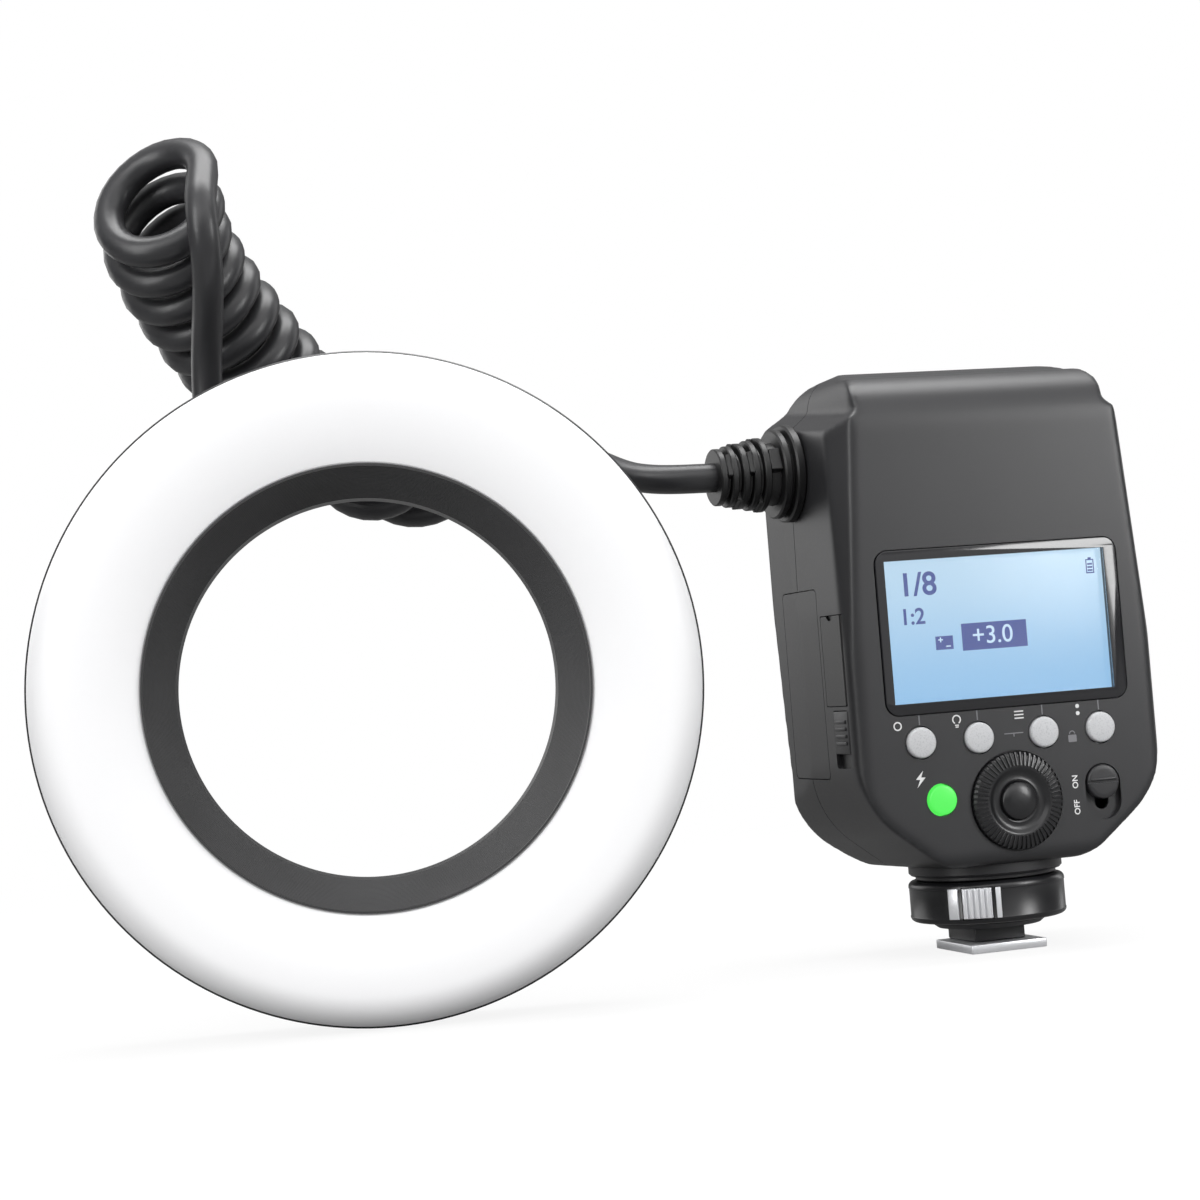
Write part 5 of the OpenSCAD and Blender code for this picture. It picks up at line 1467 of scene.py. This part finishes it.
@dataclass
class SideFittings:
    """Battery, latch, port flap and cord gland on the left side."""

    side: float = -37.0
    battery_y: Point = (-3.0, 20.5)
    battery_z: Point = (41.5, 84.5)
    battery_len: float = 54.0
    port_y: Point = (-16.6, -4.6)
    port_z: Point = (58.0, 78.0)
    knuckle_r: float = 0.8
    gap: float = 0.2
    cut: float = 5.0
    latch_y: Point = (-16.4, -8.0)
    latch_z: Point = (47.3, 56.8)
    latch_travel: float = 3.0
    gland_y: float = 8.5
    gland_z: float = 111.7
    gland_len: float = 18.0

    def window(self, ys: Point, zs: Point, grow: float, corner: float, x0: float, x1: float) -> Piece:
        """A rounded tool through the side between two depths.

        Args:
            ys: Its ends across the side.
            zs: Its ends in height.
            grow: Margin on every edge.
            corner: Radius of the corners.
            x0: Outer depth.
            x1: Inner depth.

        Returns:
            The cutting tool.
        """
        y, z = (ys[0] + ys[1]) / 2, (zs[0] + zs[1]) / 2
        outline = rounded(ys[1] - ys[0] + 2 * grow, zs[1] - zs[0] + 2 * grow, corner)
        return Bench.move(Bench.prism("side_tool", outline, x1 - x0, -x1), on_side(y, z, 0))

    def tools(self, near: bool) -> list[Piece]:
        """Tools for the openings of one cover.

        Args:
            near: True for the user's cover.

        Returns:
            The cutting tools.
        """
        out, inside, gap = self.side - self.cut, self.side + self.cut, self.gap
        gland = Bench.prism("gland_hole", circle(7.1, 45), 12, -6)
        made = [self.window(self.battery_y, self.battery_z, 0.0, 1.6, out, inside),
                Bench.move(gland, on_side(self.gland_y, self.gland_z, self.side))]
        if near:
            track = (self.latch_z[0] - self.latch_travel - gap, self.latch_z[1] + gap)
            sides = (self.latch_y[0] - gap, self.latch_y[1] + gap)
            made += [self.window(self.port_y, self.port_z, gap, 0.4, out, inside),
                     self.window(sides, track, 0, 0.8, out, self.side + 1.2),
                     self.window((-13.9, -10.5), (47.2, 53.8), 0, 0.3, out, inside)]
        return made

    def lid(self, skin: Piece, ys: Point, zs: Point, grow: float, corner: float, thick: float) -> Piece:
        """A lid cut from the body's skin, thick inside the side's plane."""
        cutter = self.window(ys, zs, grow, corner, self.side - self.cut, self.side + thick)
        return Bench.carve(Bench.copy(skin), cutter, "INTERSECT", "MANIFOLD")

    def battery(self, skin: Piece) -> None:
        """The battery pack, whose outer end follows the body's skin.

        Args:
            skin: The body's outer skin.
        """
        x, (y0, y1), (z0, z1), edge = self.side, self.battery_y, self.battery_z, 1.3
        panel = self.lid(skin, self.battery_y, self.battery_z, -0.22, 1.4, 1.8)
        pack = Bench.block("pack", (x + 1.6, y0 + edge, z0 + edge),
                           (x + self.battery_len, y1 - edge, z1 - edge), 1.0)
        Bench.carve(pack, Bench.block("groove", (x + 6, y0 + 5, z0), (x + 50, y0 + 6.2, z0 + 2.2)))
        dress(Bench.join("battery_unit", [panel, pack]), ABS, "battery", "battery_pack")

    def flap(self, skin: Piece) -> None:
        """The rubber port flap with a nail notch at its top and a round knuckle at its hinge.

        Args:
            skin: The body's outer skin.
        """
        x, (y0, y1), (z0, z1) = self.side, self.port_y, self.port_z
        flap = self.lid(skin, self.port_y, self.port_z, 0.0, 0.5, 1.5)
        notch = Bench.prism("notch", circle(2.2, 30), 2.0, -0.5)
        Bench.carve(flap, Bench.move(notch, on_side(y1 - 5.4, z1 + 1.1, x)), solver="MANIFOLD")
        hinge_x, hinge_y = x + 0.7, y0 + self.knuckle_r
        edge = Bench.block("edge", (x - self.cut, y0 - 1, z0 - 1), (x + self.cut, hinge_y, z1 + 1))
        Bench.carve(flap, edge, solver="MANIFOLD")
        outline = circle(self.knuckle_r - 0.04, cx=hinge_x, cy=hinge_y)
        Bench.carve(flap, Bench.prism("knuckle", outline, z1 - z0 - 0.2, z0 + 0.1), "UNION", "MANIFOLD")
        dress(Bench.label(flap, "port_flap"), RUBBER, "port_cover", "port_cover")

    def latch(self) -> None:
        """The sliding battery latch with four ridges."""
        x, (y0, y1), (z0, z1) = self.side, self.latch_y, self.latch_z
        plate = Bench.block("plate", (x - 0.15, y0, z0), (x + 1.0, y1, z1), 0.3)
        stem = Bench.block("stem", (x + 0.8, -13.7, 50.55), (x + 3.2, -10.7, 53.55), 0.2)
        foot = Bench.block("foot", (x + 2.2, -15.2, 49.05), (x + 3.2, -9.2, 55.05), 0.2)
        ridge = Bench.block("ridge", (x - 0.5, y0 + 1.2, -0.4), (x + 0.2, y1 - 1.2, 0.4), 0.2)
        places = [shift(0, 0, (z0 + z1) / 2 + dz) for dz in (-2.4, -0.8, 0.8, 2.4)]
        ridges = Bench.spread("ridges", ridge, places)
        dress(Bench.join("battery_catch", [plate, stem, foot, ridges]), ABS, "battery_latch", "battery_latch")

    def gland(self) -> None:
        """The ribbed strain relief with its staggered bridges."""
        tip_r, rib_r, base_r = 6.5, 9.0, 11.2
        start, ribs, rib_w, soft = 4.2, 6, 1.55, 0.25
        pitch = (self.gland_len - rib_w - start) / (ribs - 1)
        profile = [(0, -5.4), (8.2, -5.4), (8.2, -3.4), (7, -3.4), (7, -0.5), (base_r - 0.2, -0.5),
                   (base_r, -0.2), (base_r, 1.2), (base_r - 0.4, 1.6), (base_r - 2.2, 1.6),
                   (base_r - 2.2, 2.3), (base_r - 1.3, 2.3), (base_r - 1, 2.6), (base_r - 1, 3.7),
                   (base_r - 1.4, 4.1), (rib_r - 1.8, 4.1)]
        for i in range(1, ribs):
            r = rib_r - (rib_r - tip_r) * i / (ribs - 1)
            x = start + i * pitch
            end = x + rib_w
            profile += [(r - 1.7, x), (r - soft, x), (r, x + soft), (r, end - soft), (r - soft, end)]
            if i < ribs - 1:
                profile.append((r - 1.9, end))
        body = Bench.lathe("relief", profile + [(0, self.gland_len)], 72)
        bridges = []
        for i in range(ribs - 1):
            r = rib_r - (rib_r - tip_r) * (i + 0.5) / (ribs - 1)
            low = start + i * pitch + (0 if i == 0 else rib_w - 0.1)
            high = start + (i + 1) * pitch + 0.1
            for side in (0, 180):
                bridge = Bench.block("bridge", (r - 2.4, -2.6, low), (r - 0.12, 2.6, high), 0.15, 1)
                bridges.append(Bench.move(bridge, turn(side + 90 * (i % 2) + 20, "Z")))
        relief = Bench.join("cord_relief", [body, *bridges])
        Bench.move(relief, on_side(self.gland_y, self.gland_z, self.side))
        dress(relief, RUBBER, "controller", "body_cable_gland")

    def build(self, skin: Piece) -> None:
        """Builds every piece on the side.

        Args:
            skin: The body's outer skin.
        """
        self.battery(skin)
        self.flap(skin)
        self.latch()
        self.gland()


@dataclass
class HotShoe:
    """Neck, lock collar and foot."""

    collar_r: float = 17.7
    collar_z: Point = (7.1, 16.4)
    waist_z: float = 16.7
    neck_z: Point = (17.6, 20.0)
    neck_r: float = 17.4
    neck_lap: float = 1.1
    core_r: float = 11.0
    tab_angle: float = 32.0
    tab: Point = (6.6, 6.8)
    tab_gap: float = 0.2
    tab_half: float = 10.7
    bar_gap: float = 3.0
    bars: Point = (8.0, 3.6)
    ribs: int = 5
    rib_pitch: float = 1.32
    pin_y: float = 6.0
    pin_r: float = 1.3
    well_r: float = 2.3
    contact_r: float = 0.9
    contact_places: tuple = ((-4, 0), (0, 0), (4, 0), (-2, -4), (2, -4))
    plate: Point = (18.6, 20.0, 2.0)
    stem: Point = (12.4, -5.4, 9.6)

    def collar(self) -> None:
        """The turning collar with softened edges and its tab pocket."""
        r, (z0, z1) = self.collar_r, self.collar_z
        bore, waist, soft = self.core_r + 0.08, r - 0.12, 1.3
        profile = [(bore, z0), (r - 2 * soft, z0), *arc(r - soft, z0 + soft, soft, -80, 0, 5),
                   (waist, z0 + 1.5), (waist, z1 - 1.7), (r, z1 - 1.6),
                   *arc(r - soft, z1 - soft, soft, 0, 80, 5), (r - 2 * soft, z1), (bore, z1)]
        ring = Bench.lathe("lock_ring", profile, 112)
        half_w, half_h, mid = self.tab[0] / 2 + self.tab_gap, self.tab[1] / 2 + self.tab_gap, (z0 + z1) / 2
        pocket = Bench.block("pocket", (-half_w, -r - 3, mid - half_h), (half_w, -r + 4.4, mid + half_h))
        Bench.carve(ring, Bench.move(pocket, turn(-self.tab_angle, "Z")))
        dress(ring, CAP_ABS, "collar", "lock_collar")
        near, (left, right) = self.tab_half + self.bar_gap, self.bars
        bars = [self.trim(-near - left, -near), self.trim(near, near + right)]
        dress(Bench.join("lock_bars", bars), PLATED, "collar", "lock_trim")

    def trim(self, a0: float, a1: float) -> Piece:
        """A bright bar let into the collar between two angles from the tab.

        Args:
            a0: First angle in degrees.
            a1: Last angle in degrees.

        Returns:
            The bar.
        """
        r, h = self.collar_r, self.tab[1]
        mid = sum(self.collar_z) / 2
        turned = [a - 90 - self.tab_angle for a in (a0, a1)]
        outline = arc(0, 0, r + 0.25, *turned, 6) + arc(0, 0, r - 0.5, turned[1], turned[0], 6)
        return Bench.soften(Bench.prism("bar", outline, h, mid - h / 2), 0.12, 2)

    def press_tab(self) -> None:
        """The ribbed press tab."""
        w, h = self.tab
        mid = sum(self.collar_z) / 2
        front = -self.collar_r - 0.5
        low, high = mid - h / 2, mid + h / 2
        tab = Bench.block("tab", (-w / 2, front + 0.6, low), (w / 2, front + 3.6, high), 0.2)
        rib = Bench.block("rib", (-0.4, front, low + 0.1), (0.4, front + 0.9, high - 0.1), 0.12)
        places = [shift((i - (self.ribs - 1) / 2) * self.rib_pitch, 0, 0) for i in range(self.ribs)]
        ribs = Bench.spread("ribs", rib, places)
        piece = Bench.move(Bench.join("lock_press_tab", [tab, ribs]), turn(-self.tab_angle, "Z"))
        dress(piece, PLATED, "lock_tab", "lock_tab")

    def neck(self) -> None:
        """The ring between collar and body."""
        r, (z0, z1) = self.neck_r, self.neck_z
        top = z1 + self.neck_lap
        profile = [(4, self.waist_z), (r - 1.5, self.waist_z), (r - 1.5, z0), (r - 0.5, z0), (r, z0 + 0.5),
                   (r, top), (r - 2, top), (r - 2, z1), (4, z1)]
        dress(Bench.soften(Bench.lathe("neck", profile, 112), 0.15, 1, 60), ABS, "controller", "neck_ring")

    def foot(self) -> None:
        """The block with its flange, and the bright plate."""
        w, front, back = self.stem
        width, length, thick = self.plate
        base = Bench.block("stem", (-w / 2, front, thick), (w / 2, back, 5.6), 0.4)
        profile = [(0, 5.5), (11.7, 5.5), (12.6, 6.2), (13.0, 6.5), (13.0, 6.8), (self.core_r, 6.8),
                   (self.core_r, self.waist_z), (0, self.waist_z)]
        Bench.carve(base, Bench.lathe("flange", profile, 96), "UNION")
        Bench.carve(base, Bench.prism("well", circle(self.well_r, cy=self.pin_y), 20, 4))
        self.bore(base)
        dress(Bench.label(base, "foot_block"), ABS, "controller", "shoe_base")
        plate = Bench.soften(Bench.prism("foot_plate", rounded(width, length, 0.5, 4), thick), 0.25, 2)
        self.bore(plate)
        dress(plate, PLATED, "controller", "shoe_plate")

    def bore(self, piece: Piece) -> None:
        """Bores the hole of the lock pin and the five of the contacts.

        Args:
            piece: Piece to bore.
        """
        Bench.carve(piece, Bench.prism("pin", circle(self.pin_r, cy=self.pin_y), 20, -2))
        hole = Bench.prism("hole", circle(self.contact_r), 16, -2)
        Bench.carve(piece, Bench.spread("holes", hole, [shift(x, y, 0) for x, y in self.contact_places]))

    def build(self) -> None:
        """Builds neck, collar, tab and foot."""
        self.collar()
        self.press_tab()
        self.neck()
        self.foot()


def covers(casing: Casing, panel: Panel, fittings: SideFittings) -> Piece:
    """Builds the two covers and their screws.

    Args:
        casing: Form of the body.
        panel: What opens the user's face.
        fittings: What opens the cord side.

    Returns:
        The body's outer skin, from which the side's pieces are cut.
    """
    skin = casing.skin()
    shell = Bench.copy(skin)
    Bench.carve(shell, casing.solid(casing.wall), solver="MANIFOLD")
    near = casing.half("user_cover", shell, True, panel.tools() + fittings.tools(True))
    dress(near, ABS, "controller", "rear_cover")
    seat_r, seat_z, shank_r = casing.seat_r, -12.5, 1.17
    places = [shift(x, 0, z) @ turn(90, "X") for x, z in casing.screws]
    seats = [Bench.move(Bench.prism("seat", circle(seat_r), 40, -50), place) for place in places]
    far = casing.half("far_cover", shell, False, seats + fittings.tools(False))
    profile = [(seat_r, -36), (3.6, -36), (3.6, -9), (1.25, -9), (1.25, seat_z), (seat_r, seat_z)]
    wells = Bench.spread("wells", Bench.lathe("well", profile, 40), places)
    Bench.carve(wells, casing.solid(1.0), "INTERSECT")
    dress(Bench.join("far_cover", [far, wells]), ABS, "controller", "front_cover")
    profile = [(0, -14.5), (1.9, -14.5), (2.4, -14.0), (2.4, seat_z), (shank_r, seat_z), (shank_r, -1.5),
               (0, -1.5)]
    screw = Bench.cross_screw("screw", profile, (1.3, 0.22), (-16, -13.8))
    dress(Bench.spread("cover_screws", screw, places), BLUED, "controller", "body_screws")
    bpy.data.objects.remove(shell)
    return skin


def main() -> None:
    """Builds studio, cord and every sub-assembly in order."""
    logging.basicConfig(level=logging.INFO, format="%(name)s %(message)s")
    Studio().build()
    Cord().build()
    RingHead().build()
    casing, panel, fittings = Casing(), Panel(), SideFittings()
    skin = covers(casing, panel, fittings)
    fittings.build(skin)
    bpy.data.objects.remove(skin)
    panel.build()
    HotShoe().build()
    for name, finish in INNER_NODES.items():
        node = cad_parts[name]
        node.data.materials.clear()
        node.data.materials.append(finish.build())


if __name__ == "__main__":
    main()
